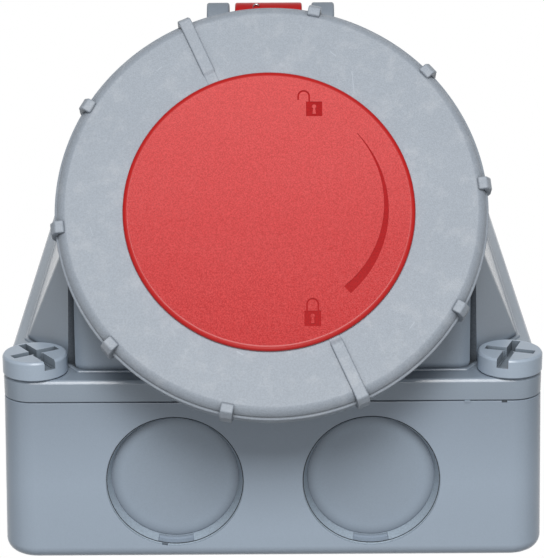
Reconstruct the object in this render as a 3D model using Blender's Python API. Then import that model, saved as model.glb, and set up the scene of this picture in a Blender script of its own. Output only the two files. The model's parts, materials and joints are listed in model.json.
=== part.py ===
"""Industrial wall socket with an inclined outlet, a sprung lid and a turning locking ring.

Blender 4.5, metres, +Z up. The back face lies in the plane Y = 0 and the front looks along -Y.
Run it with: blender --background --python part.py
"""

import math

import bmesh
import bpy
from mathutils import Vector

MM = 0.001

# Back box
BOX_WIDTH = 160 * MM
BOX_HEIGHT = 220 * MM
BOX_DEPTH = 50 * MM
BOX_SPREAD = 1.1 * MM
BOX_CORNER = 9 * MM
BOX_WALL = 3.5 * MM
BACK_WALL = 3.5 * MM
REAR_ROUND = 4 * MM
FIXING_RADIUS = 3 * MM
FIXING_INSET_X = 22 * MM
FIXING_INSET_Z = 28 * MM
FIXING_SKIN = 1 * MM
GAP = 0.3 * MM

# Joint between box and cover
TONGUE_INSET = 2.0 * MM
TONGUE_WALL = 1.4 * MM
TONGUE_RISE = 2.3 * MM
GASKET_INSET = 1.9 * MM
GASKET_WIDTH = 2.2 * MM
GASKET_HEIGHT = 1.8 * MM

# Knockouts
KNOCKOUT_EDGE = 4.75 * MM
KNOCKOUT_SHARE = 58.6 / 160
KNOCKOUT_DEPTH = 3.3 * MM
KNOCKOUT_TAPER = 1.15 * MM
KNOCKOUT_SKIN = 1.7 * MM
KNOCKOUT_PAD = 1.7 * MM
KNOCKOUT_GAP_WIDTH = 11.2 * MM
KNOCKOUT_GAP_CUT = 0.35 * MM

# Cover with its hood
COVER_RIM = 7 * MM
COVER_PLATE = 2.3 * MM
SKIRT_WALL = 1.6 * MM
COVER_EDGE = 0.9 * MM
HOOD_WALL = 3 * MM
HOOD_SIDE_MARGIN = 3.8 * MM
HOOD_END_MARGIN = 7.8 * MM
HOOD_SLOPE = math.radians(21.5)
HOOD_DRAFT = math.radians(1.5)
HOOD_ROUND = 3.2 * MM
NOTCH_WIDTH = 18.5 * MM
NOTCH_HEIGHT = 29.7 * MM

# Cover screws
SCREW_INSET_X = 9.5 * MM
SCREW_INSET_Z = 8.3 * MM
SCREW_HEAD_RADIUS = 9.6 * MM
SCREW_HEAD = 5.8 * MM
SCREW_SHANK_RADIUS = 3 * MM
SCREW_LENGTH = 32 * MM
SCREW_SLOT = 1.8 * MM
SCREW_SLOT_DEPTH = 1.9 * MM
SCREW_BOSS_WALL = 3.1 * MM
SCREW_SEAL_RADIUS = 4.6 * MM
SCREW_SEAL_WIRE = 0.7 * MM

# Place of the socket: the mounting face on the hood, where the socket's axis meets it
SOCKET_TILT = math.radians(55.65)
SOCKET_STANDOFF = 41.0 * MM
SOCKET_RISE = 18.45 * MM
NECK_WALL = 3.8 * MM
NECK_REACH = 30 * MM
NECK_PROUD = 0.5 * MM
BORE_CLEARANCE = 0.7 * MM

# Radii, each counted from the one inside it: collar, lid skirt, bayonet lugs, claws, ring
SLEEVE_BORE = 36.5 * MM
SLEEVE_WALL = 3.5 * MM
LID_CLEARANCE = 2.0 * MM
LID_SKIRT_WALL = 2.5 * MM
LUG_CLEARANCE = 3.0 * MM
LUG_WALL = 2.0 * MM
LUG_LIP = 2.0 * MM
CLAW_CLEARANCE = 0.5 * MM
CLAW_REACH = 7.6 * MM
RING_SKIRT_WALL = 3.0 * MM
GRIP_PROUD = 1.2 * MM
PLATE_MARGIN = 0.5 * MM

# Heights along the socket's axis, each counted from the one under it
PLATE_REAR = 1.5 * MM
PLATE_WALL = 3.5 * MM
CLAW_SINK = 3.4 * MM
CLAW_HEIGHT = 2.0 * MM
CLAW_PLAY = 0.6 * MM
LUG_THICKNESS = 2.2 * MM
COLLAR_PROUD = 1.3 * MM
LID_SEAT = 1.3 * MM
LID_PLATE = 2.6 * MM
RING_PLAY = 0.4 * MM
RING_FACE_WALL = 3.2 * MM
DISC_THICKNESS = 1.2 * MM

# Socket body
SLEEVE_DEPTH = 39.5 * MM
SHOULDER_STEP = 3.0 * MM
SHOULDER_DEPTH = 27.5 * MM
SHOULDER_WALL = 2.2 * MM
CLIP_GROOVE = 1.4 * MM
KEYWAY_WIDTH = 7 * MM
KEYWAY_DEPTH = 2 * MM
LUG_RAMP = 0.5 * MM
LUG_SPAN = math.radians(40)
LUG_START = math.radians(25)
BODY_SCREW_OUT = 7.6 * MM
BODY_SCREW_ANGLES = (-14, 72, 108, 194)
BODY_SCREW_RADIUS = 2.0 * MM
BODY_SCREW_HEAD = 3.5 * MM
BODY_SCREW_LENGTH = 13 * MM
BODY_SCREW_BOSS_WALL = 2.3 * MM
BODY_BOSS_DEPTH = 11 * MM
BODY_GASKET_WIDTH = 3.3 * MM

# Hinge
HINGE_OUT = 2.6 * MM
HINGE_RADIUS = 5.6 * MM
PIN_RADIUS = 2.0 * MM
EAR_INNER = 12.4 * MM
EAR_WIDTH = 6.8 * MM
EAR_OVERLAP = 2.0 * MM
CREST_BELOW_HINGE = 12.0 * MM
KNUCKLE_WIDTH = 20.2 * MM
ARM_WALL = 2.6 * MM
SPRING_COIL = 3.0 * MM
SPRING_WIRE = 0.5 * MM
SPRING_TURNS = 4
SPRING_LENGTH = 6.4 * MM
SPRING_LEG = 5 * MM
SPRING_SIDE_PLAY = 1.1 * MM

# Lid, which hangs a little low and to the left in the play of its hinge and ring
KNUCKLE_SIDE = -0.6 * MM
LID_SIDE = -0.75 * MM
LID_SAG = 1.5 * MM
LID_SEAL_WIDTH = 4.0 * MM
LID_SEAL_GROOVE = 0.8 * MM
SPIGOT_INSET = 6.9 * MM
SPIGOT_WALL = 2.4 * MM
SPIGOT_CLEARANCE = 2.0 * MM
DISC_OVERHANG = 4.4 * MM
DISC_BEVEL = 1.4 * MM

# Locking ring
RING_GROOVE = 0.8 * MM
RING_ROUND = 1.8 * MM
RING_ROUND_DEPTH = 2.2 * MM
RING_LIP = 1.0 * MM
RING_TAPER = 1.6 * MM
GRIP_COUNT = 10
GRIP_TURN = math.radians(-66.1)
GRIP_WIDTH = 3.7 * MM
GRIP_REACH = 3.2 * MM
GRIP_RISE = 0.8 * MM
GRIP_DEPTH = 8.6 * MM
RIB_CLEARANCE = 1.3 * MM
RIB_RAMP = 1.8 * MM
CLAW_SPAN = math.radians(30)
CLAW_START = math.radians(30)

# Contacts
CARRIER_CLEARANCE = 3.0 * MM
CARRIER_FACE = 4.0 * MM
CARRIER_FRONT = 4.7 * MM
CARRIER_FLANGE = 5.1 * MM
CARRIER_REAR = 41.0 * MM
CARRIER_REAR_STEP = 0.5 * MM
CLIP_WIDTH = 3.1 * MM
CLIP_HEIGHT = 1.8 * MM
CONTACT_RING = 20.0 * MM
CONTACT_BORE_DEPTH = 28 * MM
CONTACT_WALL = 1.4 * MM
PHASE_BORE = 4.1 * MM
EARTH_BORE = 5.1 * MM
PILOT_BORE = 3.1 * MM
TERMINAL_LENGTH = 15.5 * MM
TERMINAL_WALL = 1.3 * MM
TERMINAL_SCREW_RADIUS = 1.9 * MM
CONTACTS = (
    ("earth", -90, EARTH_BORE),
    ("n", -18, PHASE_BORE),
    ("l3", 54, PHASE_BORE),
    ("l2", 126, PHASE_BORE),
    ("l1", 198, PHASE_BORE),
)

RING_STEPS = 72
BODY_STEPS = 48
MIDDLE_STEPS = 36
SMALL_STEPS = 16
TINY_STEPS = 12
CORNER_STEPS = 5

# Knockouts, as large as the box's wall allows
KNOCKOUT_FROM_WALL = BOX_DEPTH / 2
KNOCKOUT_RADIUS = BOX_DEPTH / 2 - KNOCKOUT_EDGE
KNOCKOUT_SPACING = KNOCKOUT_SHARE * BOX_WIDTH

# Radii that follow from the sizes above
SCREW_BOSS_RADIUS = SCREW_SHANK_RADIUS + GAP + SCREW_BOSS_WALL
SLEEVE_RADIUS = SLEEVE_BORE + SLEEVE_WALL
NECK_BORE = SLEEVE_RADIUS + BORE_CLEARANCE
NECK_RADIUS = NECK_BORE + NECK_WALL
BODY_SCREW_RING = SLEEVE_RADIUS + BODY_SCREW_OUT
LID_BORE = SLEEVE_RADIUS + LID_CLEARANCE
LID_RADIUS = LID_BORE + LID_SKIRT_WALL
LUG_STEM_RADIUS = LID_RADIUS + LUG_CLEARANCE + LUG_WALL
LUG_RADIUS = LUG_STEM_RADIUS + LUG_LIP
PLATE_RADIUS = LUG_RADIUS + PLATE_MARGIN
CLAW_RADIUS = LUG_RADIUS + CLAW_CLEARANCE
RING_INNER = CLAW_RADIUS + CLAW_REACH
RING_RADIUS = RING_INNER + RING_SKIRT_WALL
SPIGOT_RADIUS = LID_RADIUS - SPIGOT_INSET
DISC_RADIUS = SPIGOT_RADIUS + DISC_OVERHANG
SHOULDER_BORE = SLEEVE_BORE - SHOULDER_STEP
CARRIER_RADIUS = SHOULDER_BORE - CARRIER_CLEARANCE
SEAL_MIDDLE = (SLEEVE_BORE + SLEEVE_RADIUS) / 2

# Heights that follow: in front of the mounting face, then behind it
PLATE_FRONT = PLATE_REAR + PLATE_WALL
RING_REAR = PLATE_FRONT + CLAW_SINK
LUG_UNDERSIDE = RING_REAR + CLAW_HEIGHT + CLAW_PLAY
LUG_TOP = LUG_UNDERSIDE + LUG_THICKNESS
COLLAR_HEIGHT = LUG_TOP + COLLAR_PROUD
LID_REAR = COLLAR_HEIGHT + LID_SEAT
LID_FRONT = LID_REAR + LID_PLATE
RING_FACE = LID_FRONT + RING_PLAY + RING_FACE_WALL
ARM_TOP = RING_REAR - RING_PLAY
ARM_UNDERSIDE = ARM_TOP - ARM_WALL
HINGE_HEIGHT = RING_REAR - GAP - HINGE_RADIUS
HINGE_RISE = RING_RADIUS + HINGE_OUT
SHOULDER_REAR = -(SHOULDER_DEPTH + SHOULDER_WALL)
FLANGE_REAR = SHOULDER_REAR - GAP - CARRIER_FLANGE
CONTACT_FRONT = CARRIER_FACE - CARRIER_FRONT - GAP

# Places that follow
BOTTOM = -BOX_HEIGHT / 2
TOP = BOX_HEIGHT / 2
COVER_REAR = BOX_DEPTH + GAP
COVER_FRONT = BOX_DEPTH + COVER_RIM
SOCKET_PLACE = Vector((0, -(COVER_FRONT + SOCKET_STANDOFF), BOTTOM + SOCKET_RISE))
SOCKET_TURN = math.pi / 2 + SOCKET_TILT
UP = Vector((0, math.cos(SOCKET_TURN), math.sin(SOCKET_TURN)))
OUT = Vector((0, -math.sin(SOCKET_TURN), math.cos(SOCKET_TURN)))


def clear_scene():
    for obj in list(bpy.data.objects):
        bpy.data.objects.remove(obj, do_unlink=True)


def make_material(name, colour, roughness, metallic=0.0):
    material = bpy.data.materials.new(name)
    material.use_nodes = True
    shader = material.node_tree.nodes["Principled BSDF"]
    shader.inputs["Base Color"].default_value = (*colour, 1)
    shader.inputs["Roughness"].default_value = roughness
    shader.inputs["Metallic"].default_value = metallic
    return material


def make_frame(name, place, turn=0.0, parent=None):
    """An empty that carries pieces: its Y looks up the lid and its Z looks out of the socket."""
    frame = bpy.data.objects.new(name, None)
    frame.empty_display_size = 0.02
    frame.location = place
    frame.rotation_euler = (turn, 0, 0)
    frame.parent = parent
    bpy.context.collection.objects.link(frame)
    return frame


def make_object(name, mesh_data, material=None, parent=None, place=(0, 0, 0), smooth=True):
    """Turns a bmesh into an object with outward faces. Without a material it is a hidden helper."""
    bmesh.ops.recalc_face_normals(mesh_data, faces=mesh_data.faces)
    mesh = bpy.data.meshes.new(name)
    mesh_data.to_mesh(mesh)
    mesh_data.free()
    if smooth:
        mesh.polygons.foreach_set("use_smooth", [True] * len(mesh.polygons))
        mesh.set_sharp_from_angle(angle=math.radians(32))
    obj = bpy.data.objects.new(name, mesh)
    obj.parent = parent
    obj.location = place
    bpy.context.collection.objects.link(obj)
    if material is None:
        obj.hide_render = True
        obj.display_type = "WIRE"
    else:
        mesh.materials.append(material)
    return obj


def boolean(target, other, operation="DIFFERENCE"):
    modifier = target.modifiers.new(f"{operation.lower()} {other.name}", "BOOLEAN")
    modifier.operation = operation
    modifier.object = other
    modifier.solver = "EXACT"


def bevel(target, width, steps=2, angle=30):
    modifier = target.modifiers.new("rounded edges", "BEVEL")
    modifier.width = width
    modifier.segments = steps
    modifier.limit_method = "ANGLE"
    modifier.angle_limit = math.radians(angle)


def join_loops(mesh_data, lower, upper, closed=True):
    """Faces between two loops of points, where a loop of one point is a pole."""
    count = max(len(lower), len(upper))
    for i in range(count if closed else count - 1):
        j = (i + 1) % count
        corners = []
        for loop, k in ((lower, i), (lower, j), (upper, j), (upper, i)):
            corner = loop[k % len(loop)]
            if corner not in corners:
                corners.append(corner)
        if len(corners) > 2:
            mesh_data.faces.new(corners)


def lathe(mesh_data, profile, steps, centre=(0, 0), start=0.0, sweep=None, rise=None):
    """Turns a closed outline of (radius, height) pairs round Z. With a sweep it makes a sector,
    and rise is then how much each point of the outline climbs over that sweep."""
    whole = sweep is None
    turns = steps if whole else steps + 1
    loops = []
    for index, (radius, height) in enumerate(profile):
        if radius == 0:
            loops.append([mesh_data.verts.new((*centre, height))])
            continue
        loop = []
        for k in range(turns):
            share = k / steps
            angle = start + (math.tau if whole else sweep) * share
            climb = rise[index] * share if rise else 0.0
            x = centre[0] + radius * math.cos(angle)
            y = centre[1] + radius * math.sin(angle)
            loop.append(mesh_data.verts.new((x, y, height + climb)))
        loops.append(loop)
    for lower, upper in zip(loops, loops[1:] + loops[:1]):
        if len(lower) > 1 or len(upper) > 1:
            join_loops(mesh_data, lower, upper, closed=whole)
    if not whole:
        mesh_data.faces.new([loop[0] for loop in loops])
        mesh_data.faces.new([loop[-1] for loop in reversed(loops)])


def turned(name, profile, steps, **options):
    """An object turned from one outline."""
    placed = {k: options.pop(k) for k in ("material", "parent", "place") if k in options}
    mesh_data = bmesh.new()
    lathe(mesh_data, profile, steps, **options)
    return make_object(name, mesh_data, **placed)


def disc_profile(radius, low, high):
    return [(0, low), (radius, low), (radius, high), (0, high)]


def extrude(mesh_data, outline, low, high, axis="Z"):
    """A prism on a flat outline. Along X the outline is given as (Y, Z) pairs."""

    def point(a, b, along):
        return (along, a, b) if axis == "X" else (a, b, along)

    lower = [mesh_data.verts.new(point(a, b, low)) for a, b in outline]
    upper = [mesh_data.verts.new(point(a, b, high)) for a, b in outline]
    join_loops(mesh_data, lower, upper)
    mesh_data.faces.new(lower)
    mesh_data.faces.new(reversed(upper))


def prism(name, outline, low, high, axis="Z", **placed):
    mesh_data = bmesh.new()
    extrude(mesh_data, outline, low, high, axis)
    return make_object(name, mesh_data, **placed)


def rectangle(x_low, x_high, y_low, y_high):
    return [(x_low, y_low), (x_high, y_low), (x_high, y_high), (x_low, y_high)]


def arc(centre, radius, first, last, steps):
    """Points on a circle from one angle to another, in degrees."""
    points = []
    for k in range(steps + 1):
        angle = math.radians(first + (last - first) * k / steps)
        points.append((centre[0] + radius * math.cos(angle), centre[1] + radius * math.sin(angle)))
    return points


def housing_loop(mesh_data, depth, inset):
    """One round-cornered rectangle of the housing, at a depth in front of the wall."""
    half_x = BOX_WIDTH / 2 - inset
    half_z = BOX_HEIGHT / 2 - inset
    corner = max(BOX_CORNER - inset, 1 * MM)
    loop = []
    for x_sign, z_sign, first in ((1, 1, 0), (-1, 1, 90), (-1, -1, 180), (1, -1, 270)):
        centre = (x_sign * (half_x - corner), z_sign * (half_z - corner))
        for x, z in arc(centre, corner, first, first + 90, CORNER_STEPS):
            loop.append(mesh_data.verts.new((x, -depth, z)))
    return loop


def housing_solid(name, sections, **placed):
    """A solid through round-cornered rectangles, each given as (depth, inset)."""
    mesh_data = bmesh.new()
    loops = [housing_loop(mesh_data, depth, inset) for depth, inset in sections]
    for lower, upper in zip(loops, loops[1:]):
        join_loops(mesh_data, lower, upper)
    mesh_data.faces.new(loops[0])
    mesh_data.faces.new(reversed(loops[-1]))
    return make_object(name, mesh_data, **placed)


def housing_band(name, low, high, inset, width, **placed):
    """A band that runs round the housing: a tongue, a gasket or the channel for them."""
    mesh_data = bmesh.new()
    loops = [
        housing_loop(mesh_data, low, inset),
        housing_loop(mesh_data, high, inset),
        housing_loop(mesh_data, high, inset + width),
        housing_loop(mesh_data, low, inset + width),
    ]
    for lower, upper in zip(loops, loops[1:] + loops[:1]):
        join_loops(mesh_data, lower, upper)
    return make_object(name, mesh_data, **placed)


def cut_convex(planes, reach=0.5):
    """A block cut by planes, each given as (point, outward direction)."""
    mesh_data = bmesh.new()
    bmesh.ops.create_cube(mesh_data, size=2 * reach)
    for point, outward in planes:
        geometry = mesh_data.verts[:] + mesh_data.edges[:] + mesh_data.faces[:]
        cut = bmesh.ops.bisect_plane(
            mesh_data, geom=geometry, plane_co=point, plane_no=outward, clear_outer=True
        )
        rim = [item for item in cut["geom_cut"] if isinstance(item, bmesh.types.BMEdge)]
        bmesh.ops.contextual_create(mesh_data, geom=rim)
    return mesh_data


def hood_planes(inset, depth):
    """The faces of the hood, moved inward by inset, from its base at depth."""
    half_x = BOX_WIDTH / 2 - HOOD_SIDE_MARGIN
    base = -COVER_FRONT
    crest = SOCKET_PLACE + (HINGE_RISE - CREST_BELOW_HINGE) * UP
    roof_foot = Vector((0, base, TOP - HOOD_END_MARGIN))
    roof_normal = Vector((0, -(roof_foot.z - crest.z), roof_foot.y - crest.y)).normalized()
    bottom_normal = Vector((0, -math.sin(HOOD_DRAFT), -math.cos(HOOD_DRAFT)))
    planes = [
        (Vector((0, -depth, 0)), Vector((0, 1, 0))),
        (SOCKET_PLACE - NECK_PROUD * OUT, OUT),
        (crest, roof_normal),
        (Vector((0, base, BOTTOM + HOOD_END_MARGIN)), bottom_normal),
    ]
    for side in (-1, 1):
        slope = Vector((side * math.cos(HOOD_SLOPE), -math.sin(HOOD_SLOPE), 0))
        planes.append((Vector((side * half_x, base, 0)), slope))
        for end, foot in ((-1, BOTTOM + HOOD_END_MARGIN), (1, TOP - HOOD_END_MARGIN)):
            corner = Vector((side * (half_x - NOTCH_WIDTH), base, foot))
            wall = Vector((side * NOTCH_HEIGHT, 0, end * NOTCH_WIDTH)).normalized()
            planes.append((corner, wall))
    return [(point - inset * normal * (k > 0), normal) for k, (point, normal) in enumerate(planes)]


def screw_places():
    """Name, X and Z of each cover screw, and the angle of its wide slot."""
    x = BOX_WIDTH / 2 - SCREW_INSET_X
    z = BOX_HEIGHT / 2 - SCREW_INSET_Z
    return (
        ("lower_left", -x, -z, -57),
        ("lower_right", x, -z, -109),
        ("upper_left", -x, z, 35),
        ("upper_right", x, z, 160),
    )


def posts(name, radius, low, high, steps=SMALL_STEPS):
    """A hidden helper with one cylinder on the axis of each cover screw."""
    mesh_data = bmesh.new()
    for _, x, z, _ in screw_places():
        lathe(mesh_data, disc_profile(radius, low, high), steps, centre=(x, -z))
    helper = make_object(name, mesh_data)
    helper.rotation_euler = (math.pi / 2, 0, 0)
    return helper


def bolt_circle(name, profile, angles, ring, parent, steps=SMALL_STEPS):
    """A hidden helper with the same turned shape at several angles round the socket's axis."""
    mesh_data = bmesh.new()
    for degrees in angles:
        angle = math.radians(degrees)
        lathe(mesh_data, profile, steps, centre=(ring * math.cos(angle), ring * math.sin(angle)))
    return make_object(name, mesh_data, parent=parent)


def wall_disc(mesh_data, side, x, profile, steps, **sector):
    """Turns (radius, depth) pairs round a knockout's axis, with depths counted into the wall."""
    turned_out = [(radius, side * (BOX_HEIGHT / 2 - depth)) for radius, depth in profile]
    lathe(mesh_data, turned_out, steps, centre=(x, -KNOCKOUT_FROM_WALL), **sector)


def knockout_pads(name, side):
    """Thicker wall behind each knockout."""
    mesh_data = bmesh.new()
    radius = KNOCKOUT_RADIUS + KNOCKOUT_PAD
    inside = KNOCKOUT_DEPTH + KNOCKOUT_SKIN
    for x in (-KNOCKOUT_SPACING / 2, KNOCKOUT_SPACING / 2):
        profile = [(0, BOX_WALL / 2), (radius, BOX_WALL / 2), (radius, inside), (0, inside)]
        wall_disc(mesh_data, side, x, profile, MIDDLE_STEPS)
    return make_object(name, mesh_data)


def knockout_cones(name, side):
    """Cutters for the round recesses with a tapered wall, which are broken out for a cable."""
    mesh_data = bmesh.new()
    floor = KNOCKOUT_RADIUS - KNOCKOUT_TAPER
    slope = KNOCKOUT_TAPER / KNOCKOUT_DEPTH
    above = 3 * MM
    wide = KNOCKOUT_RADIUS + slope * above
    for x in (-KNOCKOUT_SPACING / 2, KNOCKOUT_SPACING / 2):
        profile = [(0, -above), (wide, -above), (floor, KNOCKOUT_DEPTH), (0, KNOCKOUT_DEPTH)]
        wall_disc(mesh_data, side, x, profile, MIDDLE_STEPS)
    return make_object(name, mesh_data)


def knockout_gaps(name, side):
    """Cutters for the gap in each tapered wall, on the side next to the building's wall."""
    mesh_data = bmesh.new()
    outer = KNOCKOUT_RADIUS + KNOCKOUT_GAP_CUT
    inner = 0.7 * KNOCKOUT_RADIUS
    span = KNOCKOUT_GAP_WIDTH / outer
    above = 3 * MM
    for x in (-KNOCKOUT_SPACING / 2, KNOCKOUT_SPACING / 2):
        profile = [(inner, -above), (outer, -above), (outer, KNOCKOUT_DEPTH), (inner, KNOCKOUT_DEPTH)]
        wall_disc(mesh_data, side, x, profile, 4, start=(math.pi - span) / 2, sweep=span)
    return make_object(name, mesh_data)


def build_back_box(grey):
    sections = [
        (0, REAR_ROUND - BOX_SPREAD),
        (0.12 * REAR_ROUND, 0.55 * REAR_ROUND - BOX_SPREAD),
        (0.4 * REAR_ROUND, 0.2 * REAR_ROUND - BOX_SPREAD),
        (REAR_ROUND, -BOX_SPREAD),
        (BOX_DEPTH, 0),
    ]
    box = housing_solid("back_box", sections, material=grey)
    inside = housing_solid("box inside", [(BACK_WALL, BOX_WALL), (BOX_DEPTH + 5 * MM, BOX_WALL)])
    bosses = posts("box bosses", SCREW_BOSS_RADIUS, BACK_WALL / 2, BOX_DEPTH - 3 * MM)
    tongue = housing_band(
        "tongue", BOX_DEPTH - 2 * MM, BOX_DEPTH + TONGUE_RISE, TONGUE_INSET, TONGUE_WALL
    )
    holes = posts("thread holes", SCREW_SHANK_RADIUS + GAP, BOX_DEPTH - SCREW_LENGTH, BOX_DEPTH + 9 * MM)
    boolean(box, inside)
    boolean(box, bosses, "UNION")
    boolean(box, tongue, "UNION")
    boolean(box, holes)
    for side, end in ((-1, "bottom"), (1, "top")):
        boolean(box, knockout_pads(f"{end} knockout pads", side), "UNION")
        boolean(box, knockout_cones(f"{end} knockouts", side))
        boolean(box, knockout_gaps(f"{end} knockout gaps", side))
    mesh_data = bmesh.new()
    x = BOX_WIDTH / 2 - FIXING_INSET_X
    z = BOX_HEIGHT / 2 - FIXING_INSET_Z
    profile = disc_profile(FIXING_RADIUS, -2 * MM, BACK_WALL - FIXING_SKIN)
    for centre in ((-x, -z), (x, -z), (-x, z), (x, z)):
        lathe(mesh_data, profile, SMALL_STEPS, centre=centre)
    fixing = make_object("fixing points", mesh_data)
    fixing.rotation_euler = (math.pi / 2, 0, 0)
    boolean(box, fixing)


def build_box_gasket(rubber):
    low = BOX_DEPTH + TONGUE_RISE + GAP
    housing_band("box_gasket", low, low + GASKET_HEIGHT, GASKET_INSET, GASKET_WIDTH, material=rubber)


def build_cover_hood(grey, socket):
    behind = BOX_DEPTH - 6 * MM
    sections = [
        (behind, 0),
        (COVER_FRONT - COVER_EDGE, 0),
        (COVER_FRONT - 0.3 * COVER_EDGE, 0.3 * COVER_EDGE),
        (COVER_FRONT, COVER_EDGE),
    ]
    cover = housing_solid("cover_hood", sections, material=grey)
    shell = make_object("hood shell", cut_convex(hood_planes(0, COVER_FRONT - 1 * MM)))
    bevel(shell, HOOD_ROUND, steps=3, angle=20)
    neck = turned("hood neck", disc_profile(NECK_RADIUS, -NECK_REACH, 0), BODY_STEPS, parent=socket)
    hollow = make_object("hood hollow", cut_convex(hood_planes(HOOD_WALL, behind - 3 * MM)))
    channel = housing_band(
        "cover channel",
        behind - 1 * MM,
        COVER_FRONT - COVER_PLATE,
        SKIRT_WALL,
        GASKET_INSET + GASKET_WIDTH + GAP - SKIRT_WALL,
    )
    trim = housing_solid("joint plane", [(-5 * MM, -30 * MM), (COVER_REAR, -30 * MM)])
    bosses = posts("cover bosses", SCREW_BOSS_RADIUS, behind + 1 * MM, COVER_FRONT - 1 * MM)
    boss_profile = disc_profile(
        BODY_SCREW_RADIUS + GAP + BODY_SCREW_BOSS_WALL, -BODY_BOSS_DEPTH, -2 * MM
    )
    body_bosses = bolt_circle(
        "body screw bosses", boss_profile, BODY_SCREW_ANGLES, BODY_SCREW_RING, socket
    )
    bore = disc_profile(NECK_BORE, -2 * NECK_REACH, 5 * MM)
    hole_profile = disc_profile(BODY_SCREW_RADIUS + GAP, 2 * MM - BODY_BOSS_DEPTH, 5 * MM)
    boolean(cover, shell, "UNION")
    boolean(cover, hollow)
    boolean(cover, neck, "UNION")
    boolean(cover, bosses, "UNION")
    boolean(cover, body_bosses, "UNION")
    boolean(cover, channel)
    boolean(cover, trim)
    boolean(cover, bolt_circle("body screw holes", hole_profile, BODY_SCREW_ANGLES, BODY_SCREW_RING, socket))
    boolean(cover, posts("screw holes", SCREW_SHANK_RADIUS + GAP, 0, COVER_FRONT + 9 * MM))
    recess = SCREW_SEAL_RADIUS + SCREW_SEAL_WIRE + GAP
    low = COVER_FRONT - 2 * SCREW_SEAL_WIRE - GAP
    boolean(cover, posts("seal recesses", recess, low, COVER_FRONT + 9 * MM))
    half_step = math.pi / BODY_STEPS
    boolean(cover, turned("socket bore", bore, BODY_STEPS, start=half_step, parent=socket))


def build_cover_screw(name, x, z, wide_angle, grey):
    """A cover screw with a cross slot, one arm of which is wider for a broad blade."""
    head = SCREW_HEAD_RADIUS
    low = GAP
    top = GAP + SCREW_HEAD
    profile = [
        (0, -SCREW_LENGTH + 6 * MM),
        (SCREW_SHANK_RADIUS - 1 * MM, -SCREW_LENGTH + 6 * MM),
        (SCREW_SHANK_RADIUS, -SCREW_LENGTH + 8 * MM),
        (SCREW_SHANK_RADIUS, low),
        (head - 0.3 * MM, low),
        (head, low + 0.4 * MM),
        (head, top - 0.9 * MM),
        (head - 0.3 * MM, top - 0.25 * MM),
        (head - 0.9 * MM, top),
        (0, top),
    ]
    place = (x, -COVER_FRONT, z)
    screw = turned(f"cover_screw_{name}", profile, MIDDLE_STEPS, material=grey, place=place)
    screw.rotation_euler = (math.pi / 2, 0, 0)
    mesh_data = bmesh.new()
    half = SCREW_SLOT / 2
    floor = top - SCREW_SLOT_DEPTH
    extrude(mesh_data, rectangle(-0.86 * head, 0.86 * head, -half, half), floor, top + 1 * MM)
    across = make_object(f"{name} long slot", mesh_data, parent=screw)
    across.rotation_euler = (0, 0, math.radians(wide_angle))
    arm = rectangle(0.12 * head, 0.94 * head, -SCREW_SLOT, SCREW_SLOT)
    wide = prism(f"{name} wide slot", arm, floor + 0.6 * MM, top + 1 * MM, parent=screw)
    wide.rotation_euler = (0, 0, math.radians(wide_angle))
    cross = rectangle(-0.6 * head, 0.6 * head, -0.8 * half, 0.8 * half)
    cross_slot = prism(f"{name} cross slot", cross, floor + 0.3 * MM, top + 1 * MM, parent=screw)
    cross_slot.rotation_euler = (0, 0, math.radians(wide_angle + 90))
    boolean(screw, across)
    boolean(screw, wide)
    boolean(screw, cross_slot)


def build_screw_seal(number, x, z, rubber):
    """A rubber ring of round section under the head of a cover screw."""
    section = arc((SCREW_SEAL_RADIUS, -SCREW_SEAL_WIRE), SCREW_SEAL_WIRE, 0, 300, 5)
    seal = turned(f"screw_seal_{number}", section, SMALL_STEPS, material=rubber, place=(x, -COVER_FRONT, z))
    seal.rotation_euler = (math.pi / 2, 0, 0)


def ear_outline():
    """The side view of a hinge ear in the socket's frame, as (up, out) pairs."""
    root = PLATE_RADIUS - EAR_OVERLAP
    centre = (HINGE_RISE, HINGE_HEIGHT)
    return [(root, PLATE_REAR), *arc(centre, HINGE_RADIUS, -120, 120, 16), (root, PLATE_FRONT)]


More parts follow.
